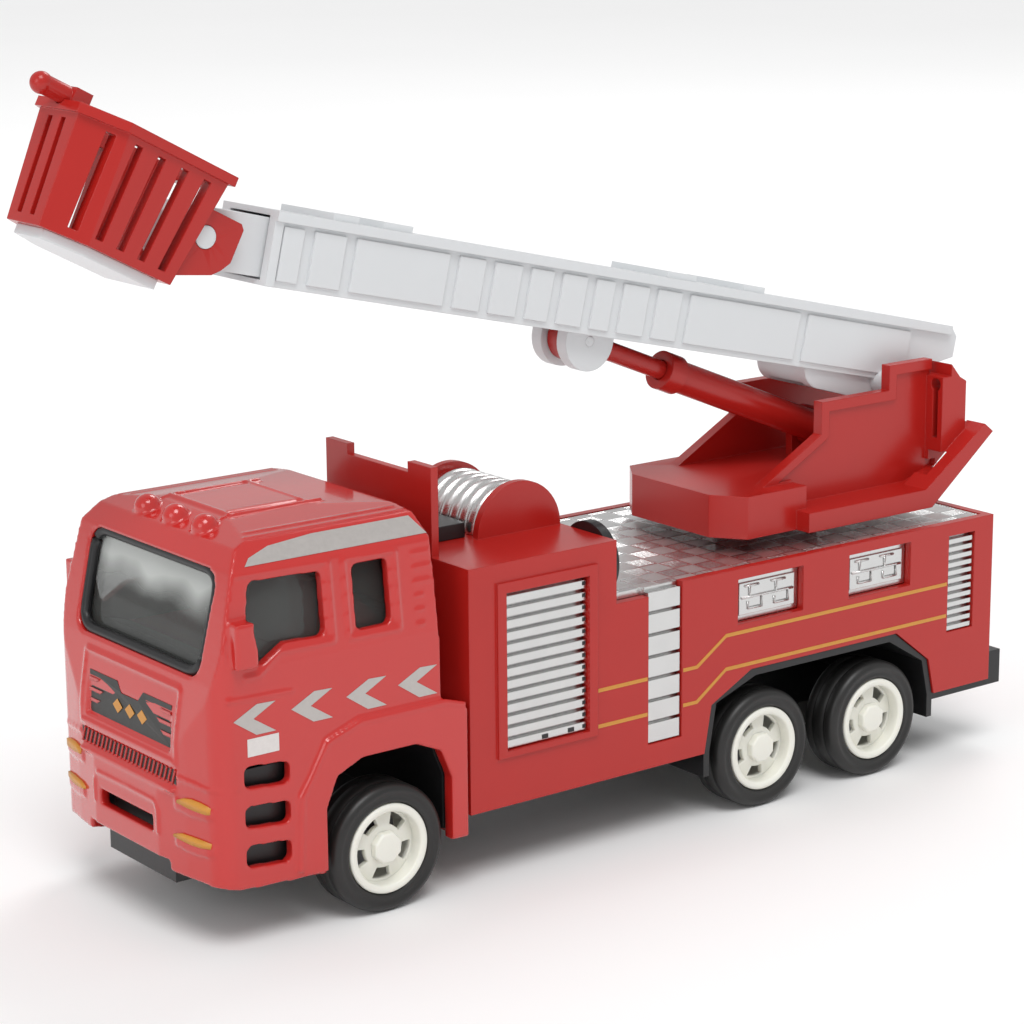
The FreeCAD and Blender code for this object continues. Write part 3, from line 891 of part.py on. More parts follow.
def bucket():
    low = ("tub_rear", "tub_corner", "tub_front", "tub_half", "tub_nose_half")
    high = ("rim_rear", "rim_corner", "rim_front", "rim_half", "rim_nose_half")
    w = "tub_wall"

    def inset(names):
        rear, corner, front, half, nose = names
        return (rear + " + " + w, corner + " - 0.4 * " + w, front + " - " + w, half + " - " + w, nose + " - 0.6 * " + w)

    tub = loft("tub_outer", tub_plan(*low), "tub_low", tub_plan(*high), "rim_high")
    hollow = loft("tub_hollow", tub_plan(*inset(low)), "tub_low + tub_floor", tub_plan(*inset(high)), "rim_high + 0.4")
    p = "rim_proud"
    rim = Moulding("tub_rim")
    rim.add_between("plan", [tub_plan("rim_rear - 0.6", "rim_corner + " + p, "rim_front + " + p, "rim_half + " + p,
                                      "rim_nose_half + " + p)], "rim_high - rim_thick", "rim_high")
    ears = Moulding("tub_ears")
    ears.add([[("ear_rear", "-1.6"), ("ear_rear + 0.9", "-3.0"), ("-2.9", "-4.1"), ("tub_rear + 1.0", "tub_low + 0.9"),
               ("tub_rear + 2.2", "tub_low + 3"), ("tub_rear + 1.2", "ear_high"), ("ear_rear + 0.6", "ear_high"),
               ("ear_rear", "ear_high - 0.6")]], "2 * ear_half")
    ears.cut([box("ear_rear - 1", "tub_rear + 3", "tub_low - 1", "ear_high + 1")], "2 * (ear_half - ear_thick)")
    solid = boolean("Fuse", "bucket_solid", tub.body, rim.body, ears.body)
    slots = Moulding("tub_slots")
    gaps = []
    for k in range(int(size("bar_count"))):
        x = "tub_rear + 1.5 + %d * bar_pitch" % k
        lean = "(%g)" % (-0.75 + 0.35 * k)
        gaps.append([(x, "bar_low"), (x + " + bar_gap", "bar_low"), (x + " + bar_gap + " + lean, "bar_high"),
                     (x + " + " + lean, "bar_high")])
    slots.add(gaps, "2 * rim_half + 3")
    front_slots = Moulding("tub_front_slots")
    front_slots.add_between("front", [box("(%g) * bar_pitch - bar_gap / 2" % k, "(%g) * bar_pitch + bar_gap / 2" % k,
                                          "bar_low", "bar_high") for k in (-0.5, 0.5)],
                            "tub_corner + 1", "rim_front + 3")
    gate = Moulding("tub_gate")
    gate.add([box("rim_rear - 3", "tub_rear + 2.2", "-gate_tall", "gate_tall")], "2 * gate_half")
    pins = Moulding("tub_pin_holes")
    pins.add([("0", "0", "bucket_pin_radius + ear_hole_play")], "2 * rim_half + 4")
    seat = cylinder("monitor_seat", "monitor_radius + part_gap", "rim_half", x="monitor_along - 2.5",
                    z="monitor_high", along="x")
    opened = boolean("Cut", "bucket_opened", solid, hollow.body, slots.body, front_slots.body, gate.body, pins.body,
                     seat)
    bucket_frame("bucket_turned", opened, "bucket")

    tray = Moulding("tray_body")
    t = "tray_inset"
    tray.add_between("plan", [tub_plan("tub_rear + " + t, "tub_corner - 0.4 * " + t, "tub_front - " + t,
                                       "tub_half - " + t, "tub_nose_half - 0.6 * " + t)],
                     "tub_low - tray_thick", "tub_low")
    bucket_frame("tray_turned", tray.body, "bucket_tray")

    base = block("monitor_base", "monitor_along - monitor_base_half * 0.7", "monitor_along + monitor_base_half * 0.7",
                 "-monitor_base_half", "monitor_base_half", "rim_high", "monitor_high + monitor_radius")
    tube = cylinder("monitor_tube", "monitor_radius", "monitor_reach", x="monitor_along", z="monitor_high", along="x")
    ball = doc.addObject("Part::Sphere", "monitor_ball_solid")
    bind(ball, "Radius", "monitor_ball")
    place(ball, "monitor_along + monitor_reach", "0", "monitor_high")
    bucket_frame("monitor_turned", boolean("Fuse", "monitor_solid", base, tube, ball), "water_monitor")


def bucket_frame(name, obj, label):
    """Seats a piece that was built in the bucket's frame on the boom's end pin."""
    turned = doc.addObject("Part::Compound", name)
    turned.Links = [obj]
    turned.Placement = FreeCAD.Placement(V(0, 0, 0), FreeCAD.Rotation(V(0, -1, 0), 1))
    bind(turned, "Placement.Rotation.Angle", "bucket_pitch")
    along, high = "bucket_pin_along", "bucket_pin_high"
    place(turned, x="boom_pivot_x + %s * cos(boom_pitch) - %s * sin(boom_pitch)" % (along, high),
          z="boom_pivot_z + %s * sin(boom_pitch) + %s * cos(boom_pitch)" % (along, high))
    keep(turned, label)


for build in (chassis, screws, wheels, rear_body, deck_insert, hose_reel, reel_fittings, cab_shell, cab_glazing,
              cab_interior, steering_wheel, turntable, turret, boom_outer, boom_inner, ram, bucket):
    build()

doc.recompute()
broken = [o.Label for o in doc.Objects if "Invalid" in o.State or "Error" in o.State]
if broken:
    raise SystemExit("features that failed: " + ", ".join(broken))
for part in parts:
    if part.Shape.isNull() or not part.Shape.isValid() or not part.Shape.Solids:
        raise SystemExit("no valid shape: " + part.Label)

os.makedirs("parts", exist_ok=True)
for part in parts:
    part.Shape.exportStep(os.path.join("parts", part.Label + ".step"))
    b = part.Shape.BoundBox
    print("%-18s solids %d  volume %8.1f  x %6.1f %6.1f  y %6.1f %6.1f  z %6.1f %6.1f" % (
        part.Label, len(part.Shape.Solids), part.Shape.Volume, b.XMin, b.XMax, b.YMin, b.YMax, b.ZMin, b.ZMax))
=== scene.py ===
import math

import bmesh
import bpy
from mathutils import Matrix, Vector


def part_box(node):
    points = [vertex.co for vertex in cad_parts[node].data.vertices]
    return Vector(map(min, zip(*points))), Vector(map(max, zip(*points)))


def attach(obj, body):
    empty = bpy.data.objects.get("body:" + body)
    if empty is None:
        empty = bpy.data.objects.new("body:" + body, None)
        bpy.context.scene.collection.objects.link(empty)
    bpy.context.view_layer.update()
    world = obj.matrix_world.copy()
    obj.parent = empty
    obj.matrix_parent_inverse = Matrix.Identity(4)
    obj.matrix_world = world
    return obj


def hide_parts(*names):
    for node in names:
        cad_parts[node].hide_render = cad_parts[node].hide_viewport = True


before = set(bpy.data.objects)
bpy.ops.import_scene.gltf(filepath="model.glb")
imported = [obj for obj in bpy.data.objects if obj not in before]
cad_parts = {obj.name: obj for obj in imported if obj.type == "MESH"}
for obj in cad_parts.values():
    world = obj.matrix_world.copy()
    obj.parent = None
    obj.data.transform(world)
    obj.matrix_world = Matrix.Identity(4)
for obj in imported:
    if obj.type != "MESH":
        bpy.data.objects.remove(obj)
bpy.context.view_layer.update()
MM = 0.001


# ---------------------------------------------------------------------------
# Sizes read from the frame, in millimetres
# ---------------------------------------------------------------------------
def span(node):
    """A node's lowest and highest corners in millimetres."""
    low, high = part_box(node)
    return Vector(low) / MM, Vector(high) / MM


CAB_NOSE = span("cab_shell")[1].x
CAB_SIDE = 20.75  # the cab's flank below its belt line; the mirrors stand further out
BODY_SIDE = 21.0  # the rear body's side; its raised trims stand further out
DECK_TOP = span("deck_insert")[1].z
AXLE_X = {name: sum(v.x for v in span(name + "_axle")) / 2 for name in ("front", "mid", "rear")}
TYRE_LOW, TYRE_HIGH = span("front_left_tyre")
RIM_LOW, RIM_HIGH = span("front_left_rim")
TYRE_RADIUS = (TYRE_HIGH.x - TYRE_LOW.x) / 2
TYRE_WIDTH = TYRE_HIGH.y - TYRE_LOW.y
RIM_RADIUS = (RIM_HIGH.x - RIM_LOW.x) / 2
WHEEL_OUTER = TYRE_HIGH.y
PRINT = 0.04  # thickness of printed ink


# ---------------------------------------------------------------------------
# Shader maths
# ---------------------------------------------------------------------------
class Value:
    """One number socket of a material, usable in Python arithmetic."""

    def __init__(self, shade, socket):
        self.shade = shade
        self.socket = socket

    def _op(self, operation, *others):
        node = self.shade.node("ShaderNodeMath", {"operation": operation}, self, *others)
        return node.value()

    def __add__(self, other):
        return self._op("ADD", other)

    def __sub__(self, other):
        return self._op("SUBTRACT", other)

    def __mul__(self, other):
        return self._op("MULTIPLY", other)

    def __truediv__(self, other):
        return self._op("DIVIDE", other)

    def __rsub__(self, other):
        return self.shade.node("ShaderNodeMath", {"operation": "SUBTRACT"}, other, self).value()

    __radd__ = __add__
    __rmul__ = __mul__

    def wave(self):
        return self._op("SINE")

    def whole(self):
        return self._op("FLOOR")

    def wrap(self, length):
        return self._op("FLOORED_MODULO", length)

    def size(self):
        return self._op("ABSOLUTE")

    def above(self, limit):
        return self._op("GREATER_THAN", limit)

    def below(self, limit):
        return self._op("LESS_THAN", limit)

    def smaller(self, other):
        return self._op("MINIMUM", other)

    def larger(self, other):
        return self._op("MAXIMUM", other)


class Made:
    """A node just made, with its outputs by name or number."""

    def __init__(self, shade, node):
        self.shade = shade
        self.node = node

    def value(self, output=0):
        return Value(self.shade, self.node.outputs[output])


class Shade:
    """A material whose surface is one Principled shader."""

    def __init__(self, name, **constants):
        self.material = bpy.data.materials.new(name)
        self.material.use_nodes = True
        self.tree = self.material.node_tree
        self.surface = self.tree.nodes["Principled BSDF"]
        for socket, number in constants.items():
            self.surface.inputs[socket.replace("_", " ")].default_value = number

    def node(self, kind, settings=None, *values, **named):
        made = self.tree.nodes.new(kind)
        for key, setting in (settings or {}).items():
            setattr(made, key, setting)
        for key, value in list(enumerate(values)) + list(named.items()):
            self.feed(made.inputs[key.replace("_", " ") if isinstance(key, str) else key], value)
        return Made(self, made)

    def feed(self, socket, value):
        if isinstance(value, Value):
            self.tree.links.new(value.socket, socket)
        else:
            socket.default_value = value

    def drive(self, socket, value):
        self.feed(self.surface.inputs[socket], value)

    def place(self):
        """Object coordinates in millimetres: the vector, then along, across and height."""
        coordinates = self.node("ShaderNodeTexCoord").value("Object")
        scaled = self.node("ShaderNodeVectorMath", {"operation": "SCALE"}, Vector=coordinates, Scale=1 / MM)
        split = self.node("ShaderNodeSeparateXYZ", None, scaled.value())
        return scaled.value(), split.value("X"), split.value("Y"), split.value("Z")

    def noise(self, vector, scale, detail=2.0, roughness=0.5):
        """Noise of 0 to 1; scale is in cycles per millimetre."""
        made = self.node("ShaderNodeTexNoise", None, Vector=vector, Scale=scale, Detail=detail,
                         Roughness=roughness)
        return made.value("Fac")

    def mix(self, amount, low, high):
        """A colour between low and high."""
        made = self.node("ShaderNodeMix", {"data_type": "RGBA"})
        inputs = [s for s in made.node.inputs if s.enabled]
        for socket, value in zip(inputs, (amount, low, high)):
            self.feed(socket, value)
        return Value(self, next(s for s in made.node.outputs if s.enabled))

    def relief(self, height, depth_mm, edge_mm=0.0):
        """Bump from a height of 0 to 1, over edges rounded by edge_mm."""
        base = {}
        if edge_mm:
            base["Normal"] = self.node("ShaderNodeBevel", {"samples": 4}, Radius=edge_mm * MM).value()
        bump = self.node("ShaderNodeBump", None, Height=height, Strength=1.0, Distance=depth_mm * MM, **base)
        self.drive("Normal", bump.value("Normal"))


def rgb(colour, factor=1.0):
    """A colour made darker or lighter, with its alpha."""
    return tuple(min(1.0, c * factor) for c in colour) + (1.0,)


def moulded(name, colour, roughness, spread=0.05, ripple=0.004, cloud=0.03, edge=0.22, **constants):
    """Plastic or paint: faint clouding of colour and gloss, and a ripple in the skin."""
    cloud_scale, speckle_scale, ripple_scale = 0.16, 2.4, 0.9
    shade = Shade(name, **constants)
    at, _, _, _ = shade.place()
    clouds = shade.noise(at, cloud_scale, 3.0)
    speckle = shade.noise(at, speckle_scale, 2.0, 0.6)
    shade.drive("Base Color", shade.mix(clouds, rgb(colour, 1 - cloud), rgb(colour, 1 + cloud)))
    shade.drive("Roughness", roughness + (clouds - 0.5) * spread + (speckle - 0.5) * (spread * 0.6))
    shade.relief(shade.noise(at, ripple_scale) * 0.8 + speckle * 0.2, ripple, edge)
    return shade.material


def enamel():
    return moulded("cab_enamel", (0.54, 0.018, 0.015), 0.17, ripple=0.03, edge=0.3, Coat_Weight=0.6,
                   Coat_Roughness=0.06, IOR=1.5)


def red_plastic():
    return moulded("red_plastic", (0.45, 0.016, 0.012), 0.25, cloud=0.04, edge=0.18, IOR=1.48)


def white_plastic():
    return moulded("white_plastic", (0.70, 0.72, 0.735), 0.36, spread=0.06, cloud=0.015, edge=0.18,
                   Subsurface_Weight=0.12, Subsurface_Radius=(1.0, 1.0, 1.0), Subsurface_Scale=0.001)


def cream_plastic():
    return moulded("cream_plastic", (0.84, 0.835, 0.76), 0.38, spread=0.06, cloud=0.02, edge=0.15,
                   Subsurface_Weight=0.1, Subsurface_Radius=(1.0, 0.9, 0.7), Subsurface_Scale=0.001)


def black_plastic():
    return moulded("black_plastic", (0.012, 0.012, 0.013), 0.38, spread=0.12, ripple=0.02, cloud=0.2,
                   edge=0.18)


def interior_plastic():
    return moulded("interior_plastic", (0.025, 0.026, 0.028), 0.5, spread=0.1, ripple=0.02, cloud=0.2,
                   edge=0.15)


def tyre_black():
    return moulded("tyre_black", (0.017, 0.0165, 0.016), 0.42, spread=0.12, ripple=0.008, cloud=0.15,
                   edge=0.15)


def steel():
    """Bright steel with faint lathe rings."""
    ring_rate = 9.0
    shade = Shade("bright_steel", Metallic=1.0)
    at, _, across, _ = shade.place()
    turned = shade.noise(at, 1.5) * 0.5 + (across * ring_rate).wave() * 0.25 + 0.25
    shade.drive("Base Color", shade.mix(turned, (0.50, 0.50, 0.51, 1), (0.62, 0.62, 0.63, 1)))
    shade.drive("Roughness", 0.24 + turned * 0.12)
    shade.relief(turned, 0.01, 0.1)
    return shade.material


def plating():
    """Vacuum-plated silver: mirror-like with a soft haze and moulding ripple."""
    shade = Shade("silver_plating", Metallic=1.0)
    at, _, _, _ = shade.place()
    haze = shade.noise(at, 0.35, 3.0)
    grain = shade.noise(at, 5.0, 2.0)
    shade.drive("Base Color", shade.mix(haze, (0.68, 0.68, 0.675, 1), (0.78, 0.78, 0.775, 1)))
    shade.drive("Roughness", 0.20 + haze * 0.10 + grain * 0.05)
    shade.relief(haze * 0.7 + grain * 0.3, 0.03, 0.15)
    return shade.material


def deck_plating():
    """Plating with tread squares on the level deck: fine ribs turn a right angle from square to square."""
    cell, rib_pitch, tread_share = 3.6, 0.55, 0.44
    deck_depth, deck_front_x = 6.0, 2.0
    shade = Shade("deck_plating", Metallic=1.0)
    at, along, across, height = shade.place()
    facing = shade.node("ShaderNodeNewGeometry").value("Normal")
    level = shade.node("ShaderNodeSeparateXYZ", None, facing).value("Z").above(0.9)
    deck = level * height.above(DECK_TOP - deck_depth) * along.below(deck_front_x)
    column, row = along / cell, across / cell
    square = (column.whole() + row.whole()).wrap(2.0)
    turn = 2 * math.pi / rib_pitch
    ribs = ((along * turn).wave() * square + (across * turn).wave() * (1 - square)) * 0.5 + 0.5
    off_middle = (column.wrap(1.0) - 0.5).size().larger((row.wrap(1.0) - 0.5).size())
    inside = off_middle.below(tread_share)
    haze = shade.noise(at, 0.35, 3.0)
    tone = haze * 0.5 + square * deck * 0.5
    shade.drive("Base Color", shade.mix(tone, (0.60, 0.60, 0.595, 1), (0.78, 0.78, 0.775, 1)))
    shade.drive("Roughness", 0.18 + haze * 0.1 + deck * square * 0.10)
    shade.relief(haze * 0.12 + ribs * inside * deck * 0.6 + inside * deck * 0.2, 0.12, 0.15)
    return shade.material


def smoked_clear():
    """Smoked windows; the windscreen carries a painted reflection of the sky, paler and less clear towards
    its top.
    """
    screen_x, painted_sky_low, painted_sky_rise = 61.5, 42.6, 4.5
    shade = Shade("smoked_clear", Metallic=0.0, IOR=1.46, Coat_Weight=0.3, Coat_Roughness=0.02)
    at, along, _, height = shade.place()
    flow = shade.noise(at, 0.12, 1.0)
    # Painted reflection of the sky: above a set height the windscreen's colour pales and it grows more
    # opaque, with a noisy edge.
    rise = (height - painted_sky_low) / painted_sky_rise + (flow - 0.5) * 1.2
    painted_sky = rise.larger(0.0).smaller(1.0) * along.above(screen_x)
    shade.drive("Base Color", shade.mix(painted_sky, (0.11, 0.115, 0.11, 1), (0.60, 0.62, 0.60, 1)))
    shade.drive("Roughness", 0.04 + flow * 0.05)
    shade.drive("Alpha", 0.36 + flow * 0.08 + painted_sky * 0.42)
    shade.relief(flow, 0.02)
    return shade.material


def print_ink(name, colour, roughness=0.4, metallic=0.0):
    """Pad-printed ink with thin and thick patches."""
    shade = Shade(name, Metallic=metallic)
    at, _, _, _ = shade.place()
    cover = shade.noise(at, 1.2, 4.0, 0.7)
    shade.drive("Base Color", shade.mix(cover, rgb(colour, 0.86), rgb(colour, 1.1)))
    shade.drive("Roughness", roughness + (cover - 0.5) * 0.2)
    shade.relief(cover, 0.01)
    return shade.material


ENAMEL = enamel()
RED_PLASTIC = red_plastic()
WHITE_PLASTIC = white_plastic()
CREAM = cream_plastic()
BLACK = black_plastic()
DARK = interior_plastic()
TYRE = tyre_black()
STEEL = steel()
SILVER = plating()
DECK = deck_plating()
SMOKED = smoked_clear()
GOLD_INK = print_ink("gold_ink", (0.62, 0.27, 0.035))
SILVER_INK = print_ink("silver_ink", (0.50, 0.47, 0.45), 0.35, 0.35)
BLACK_INK = print_ink("black_ink", (0.02, 0.02, 0.018))
WHITE_INK = print_ink("white_ink", (0.72, 0.68, 0.66))


# ---------------------------------------------------------------------------
# Mesh helpers, all in millimetres
# ---------------------------------------------------------------------------
WELD = 0.002 * MM  # corners nearer than this are one


def round_edges(obj, width, angle):
    """Rounds the edges that turn by more than angle degrees."""
    bevel = obj.modifiers.new("edges", "BEVEL")
    bevel.width = width * MM
    bevel.segments = 2
    bevel.limit_method = "ANGLE"
    bevel.angle_limit = math.radians(angle)


def keep_flats(obj, weight):
    """Keeps flat faces flat in the shading beside rounded edges."""
    weighted = obj.modifiers.new("flats", "WEIGHTED_NORMAL")
    weighted.keep_sharp = False
    weighted.weight = weight


def dress(node, material, edge):
    """Gives a CAD node its finish and rounds its moulded edges."""
    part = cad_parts[node]
    part.data.materials.clear()
    part.data.materials.append(material)
    custom = part.data.attributes.get("custom_normal")
    if custom:
        part.data.attributes.remove(custom)
    part.data.shade_smooth()
    weld = part.modifiers.new("weld", "WELD")
    weld.merge_threshold = WELD
    if edge:
        round_edges(part, edge, 32)
    keep_flats(part, 80)


def piece(name, mesh, material, body, slot, *replaced):
    """Makes a visible piece that rides on a body and stands in for the replaced nodes."""
    obj = bpy.data.objects.new(name, mesh)
    mesh.materials.clear()
    mesh.materials.append(material)
    bpy.context.scene.collection.objects.link(obj)
    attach(obj, body)
    if replaced:
        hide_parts(*replaced)
    return obj


def to_mesh(name, bm, smooth=True):
    """Ends a bmesh as a mesh with its faces turned out."""
    bmesh.ops.recalc_face_normals(bm, faces=bm.faces)
    for face in bm.faces:
        face.smooth = smooth
    mesh = bpy.data.meshes.new(name)
    bm.to_mesh(mesh)
    bm.free()
    return mesh


def skin(bm, ring, after):
    """Joins two rings of corners by a band of faces."""
    for k, corner in enumerate(ring):
        n = (k + 1) % len(ring)
        bm.faces.new((corner, ring[n], after[n], after[k]))


def tube(bm, rings, closed=False):
    """Joins rings of corners in turn, back to the first one or with a face at each end."""
    for ring, after in zip(rings, rings[1:] + rings[:1] if closed else rings[1:]):
        skin(bm, ring, after)
    if not closed:
        bm.faces.new(list(reversed(rings[0])))
        bm.faces.new(rings[-1])


def circle(bm, centre, radius, along, sides, start=0.0):
    """Adds a ring of corners about a line along Y through centre, the first at the angle start."""
    corners = []
    for k in range(sides):
        angle = start + 2 * math.pi * k / sides
        x, z = centre.x + radius * math.cos(angle), centre.z + radius * math.sin(angle)
        corners.append(bm.verts.new(Vector((x, centre.y + along, z)) * MM))
    return corners


def prism(bm, outline, thickness, at):
    """Adds a closed plate: at(a, b, height) gives the point for each corner of the outline."""
    low = [bm.verts.new(Vector(at(a, b, 0.0)) * MM) for a, b in outline]
    high = [bm.verts.new(Vector(at(a, b, thickness)) * MM) for a, b in outline]
    bm.faces.new(list(reversed(low)))
    bm.faces.new(high)
    skin(bm, low, high)


def on_side(sign, y):
    """Outlines of (x, z), facing out of the left (+1) or right (-1) side at y."""
    return lambda x, z, height: (x, sign * (y + height), z)


def on_front(x):
    """Outlines of (y, z), facing forward at x."""
    return lambda y, z, height: (x + height, y, z)


def ribbon(bm, samples, proud, sink=0.4):
    """Adds a raised strip on the cab's face through samples of (y, low z, high z)."""
    rings = []
    for y, low, high in samples:
        corners = (front_point(y, low, -sink), front_point(y, low, proud), front_point(y, high, proud),
                   front_point(y, high, -sink))
        rings.append([bm.verts.new(Vector(c) * MM) for c in corners])
    tube(bm, rings)


def rod(bm, path, radius, sides=10, closed=False):
    """Adds a round bar along a path of points."""
    points = [Vector(p) for p in path]
    count = len(points)
    rings = []
    for i, point in enumerate(points):
        before = points[(i - 1) % count] if closed or i else point
        after = points[(i + 1) % count] if closed or i < count - 1 else point
        ahead = (after - before).normalized()
        side = ahead.cross(Vector((0, 0, 1)) if abs(ahead.z) < 0.9 else Vector((0, 1, 0))).normalized()
        up = side.cross(ahead)
        angles = [2 * math.pi * k / sides for k in range(sides)]
        rings.append([bm.verts.new((point + side * radius * math.cos(a) + up * radius * math.sin(a)) * MM)
                      for a in angles])
    tube(bm, rings, closed)


def rounded(points, radius, steps=5):
    """Replaces each corner of a closed outline by a soft curve, given as points."""
    made = []
    count = len(points)
    for i in range(count):
        here = Vector(points[i])
        before = Vector(points[i - 1]) - here
        after = Vector(points[(i + 1) % count]) - here
        reach = min(radius, before.length / 2.1, after.length / 2.1)
        start, end = here + before.normalized() * reach, here + after.normalized() * reach
        for k in range(steps + 1):
            t = k / steps
            made.append(start * (1 - t) ** 2 + here * 2 * t * (1 - t) + end * t ** 2)
    return made


def lathe(bm, profile, centre, sides, face):
    """Turns a closed (radius, along) profile about a line along Y through centre."""
    tube(bm, [circle(bm, centre, radius, face * along, sides) for radius, along in profile], closed=True)


# ---------------------------------------------------------------------------
# Wheels
# ---------------------------------------------------------------------------
def arc(middle_radius, middle_along, radius, start, end, steps):
    """Points of an arc in a lathe profile, its angles in degrees from straight out."""
    points = []
    for k in range(steps + 1):
        angle = math.radians(start + (end - start) * k / steps)
        points.append((middle_radius + radius * math.cos(angle), middle_along + radius * math.sin(angle)))
    return points


def tyre(name, centre, face, body, node):
    """A tyre with a raised bead beside the rim, round shoulders and two fine tread grooves."""
    half = TYRE_WIDTH / 2
    wall = half - 0.12
    shoulder, tread_groove, groove_half, groove_depth = 1.15, 1.2, 0.22, 0.16
    seat = RIM_RADIUS + 0.02
    profile = [(seat, -wall + 0.3), (seat, wall - 0.5), (RIM_RADIUS + 0.25, wall - 0.1),
               (RIM_RADIUS + 0.55, wall), (RIM_RADIUS + 0.75, wall - 0.14), (RIM_RADIUS + 1.3, wall - 0.10)]
    profile += arc(TYRE_RADIUS - shoulder, half - shoulder, shoulder, 88, 6, 7)
    bottom = TYRE_RADIUS - groove_depth
    for groove in (tread_groove, -tread_groove):
        profile += [(TYRE_RADIUS, groove + groove_half), (bottom, groove + 0.1), (bottom, groove - 0.1),
                    (TYRE_RADIUS, groove - groove_half)]
    profile += arc(TYRE_RADIUS - shoulder, -half + shoulder, shoulder, -6, -88, 7)
    profile += [(RIM_RADIUS + 0.8, -wall)]
    bm = bmesh.new()
    lathe(bm, profile, centre, 96, face)
    piece(name, to_mesh(name, bm), TYRE, body, "tyre_black", node)


def rim_dish(bm, centre, face, levels):
    """Adds the cone from rim to hub, with a wedge window between each two spokes."""
    windows, steps, thick = 5, 14, 0.9
    spoke_from, spoke_to = 4, steps - 3
    total = windows * steps
    outer, inner = ([circle(bm, centre, radius, face * (level - depth), total, math.pi / 2)
                     for radius, level in levels] for depth in (0.0, thick))

    def solid(r, k):
        return 0 <= r < len(levels) - 1 and not (r == 1 and spoke_from <= (k % steps) < spoke_to)

    for r in range(len(levels) - 1):
        for k in range(total):
            n = (k + 1) % total
            if not solid(r, k):
                continue
            for side in (outer, inner):
                bm.faces.new((side[r][k], side[r + 1][k], side[r + 1][n], side[r][n]))
            for other, (ra, ka), (rb, kb) in (((r, k - 1), (r, k), (r + 1, k)), ((r, n), (r, n), (r + 1, n)),
                                              ((r - 1, k), (r, k), (r, n)),
                                              ((r + 1, k), (r + 1, k), (r + 1, n))):
                if not solid(*other):
                    bm.faces.new((outer[ra][ka], outer[rb][kb], inner[rb][kb], inner[ra][ka]))


def hub_cap(bm, centre, face, hub, base, top):
    """Adds the eight-sided cap on the hub, softened at its face."""
    sides = 8
    steps = ((hub, base), (hub, top - 0.35), (hub - 0.12, top - 0.1), (hub - 0.4, top), (0.01, top + 0.02))
    rings = [circle(bm, centre, radius, face * level, sides, math.pi / sides) for radius, level in steps]
    for ring, after in zip(rings, rings[1:]):
        skin(bm, ring, after)
    bm.faces.new(list(reversed(rings[0])))


def rim(name, centre, face, body, node):
    half = TYRE_WIDTH / 2
    lip = RIM_RADIUS - 1.15
    dish = half - 1.75
    hub = 2.3
    bm = bmesh.new()
    flange = [(RIM_RADIUS, -half + 0.1), (RIM_RADIUS, half - 0.25), (RIM_RADIUS - 0.2, half - 0.02),
              (RIM_RADIUS - 0.55, half), (lip + 0.12, half - 0.12), (lip, half - 0.4),
              (lip - 0.08, dish - 0.9), (lip - 0.08, -half + 0.1)]
    lathe(bm, flange, centre, 72, face)
    rim_dish(bm, centre, face, ((hub - 0.2, dish + 0.35), (hub + 0.75, dish + 0.15),
                                (lip - 0.45, dish - 0.25), (lip + 0.1, dish - 0.35)))
    hub_cap(bm, centre, face, hub, dish - 1.2, half - 0.25)
    obj = piece(name, to_mesh(name, bm), CREAM, body, "cream_plastic", node)
    round_edges(obj, 0.12, 35)
    keep_flats(obj, 50)


def wheels():
    for axle, x in AXLE_X.items():
        body = axle + "_wheelset"
        dress(axle + "_axle", STEEL, 0.08)
        for side, face in (("left", 1), ("right", -1)):
            centre = Vector((x, face * (WHEEL_OUTER - TYRE_WIDTH / 2), TYRE_RADIUS))
            node = "%s_%s" % (axle, side)
            tyre(node + "_tyre_moulded", centre, face, body, node + "_tyre")
            rim(node + "_wheel_moulded", centre, face, body, node + "_rim")


# ---------------------------------------------------------------------------
# Cab
# ---------------------------------------------------------------------------
def cab_flank(z):
    """How far out the cab's side stands at a height: upright to the belt, then leaning in."""
    belt, gutter, lean = 38.0, 50.6, 1.35
    return CAB_SIDE - max(0.0, z - belt) / (gutter - belt) * lean


def cab_nose(z):
    """The x of the cab's front at a height: bumper, grille panel, windscreen, roof edge."""
    outline = [(10.4, 69.3), (20.5, 69.3), (29.0, 68.4), (36.1, 67.2), (50.8, 63.65), (53.2, 61.8)]
    for (z0, x0), (z1, x1) in zip(outline, outline[1:]):
        if z <= z1:
            return x0 + (x1 - x0) * (z - z0) / (z1 - z0)
    return outline[-1][1]


def cab_bow(y):
    """How far the cab's front stands back at a distance from the middle: flat, bowed, then swept."""
    y = abs(y)
    centre, shoulder, corner = 8.3, 14.1, 18.0
    bow, sweep, corner_rate = 0.9, 1.3, 0.22
    if y <= centre:
        return 0.0
    if y <= shoulder:
        return bow * (y - centre) / (shoulder - centre)
    return bow + sweep * (y - shoulder) / (CAB_SIDE - shoulder) + max(0.0, y - corner) ** 2 * corner_rate


def front_point(y, z, proud=0.0):
    """A point on the cab's face, standing proud of it."""
    return (min(cab_nose(z), CAB_NOSE - cab_bow(y)) + proud, y, z)


def flank_path(sign, points, proud):
    """Points on the cab's side through (x, z) points, standing proud of it."""
    return [(x, sign * (cab_flank(z) + proud), z) for x, z in points]


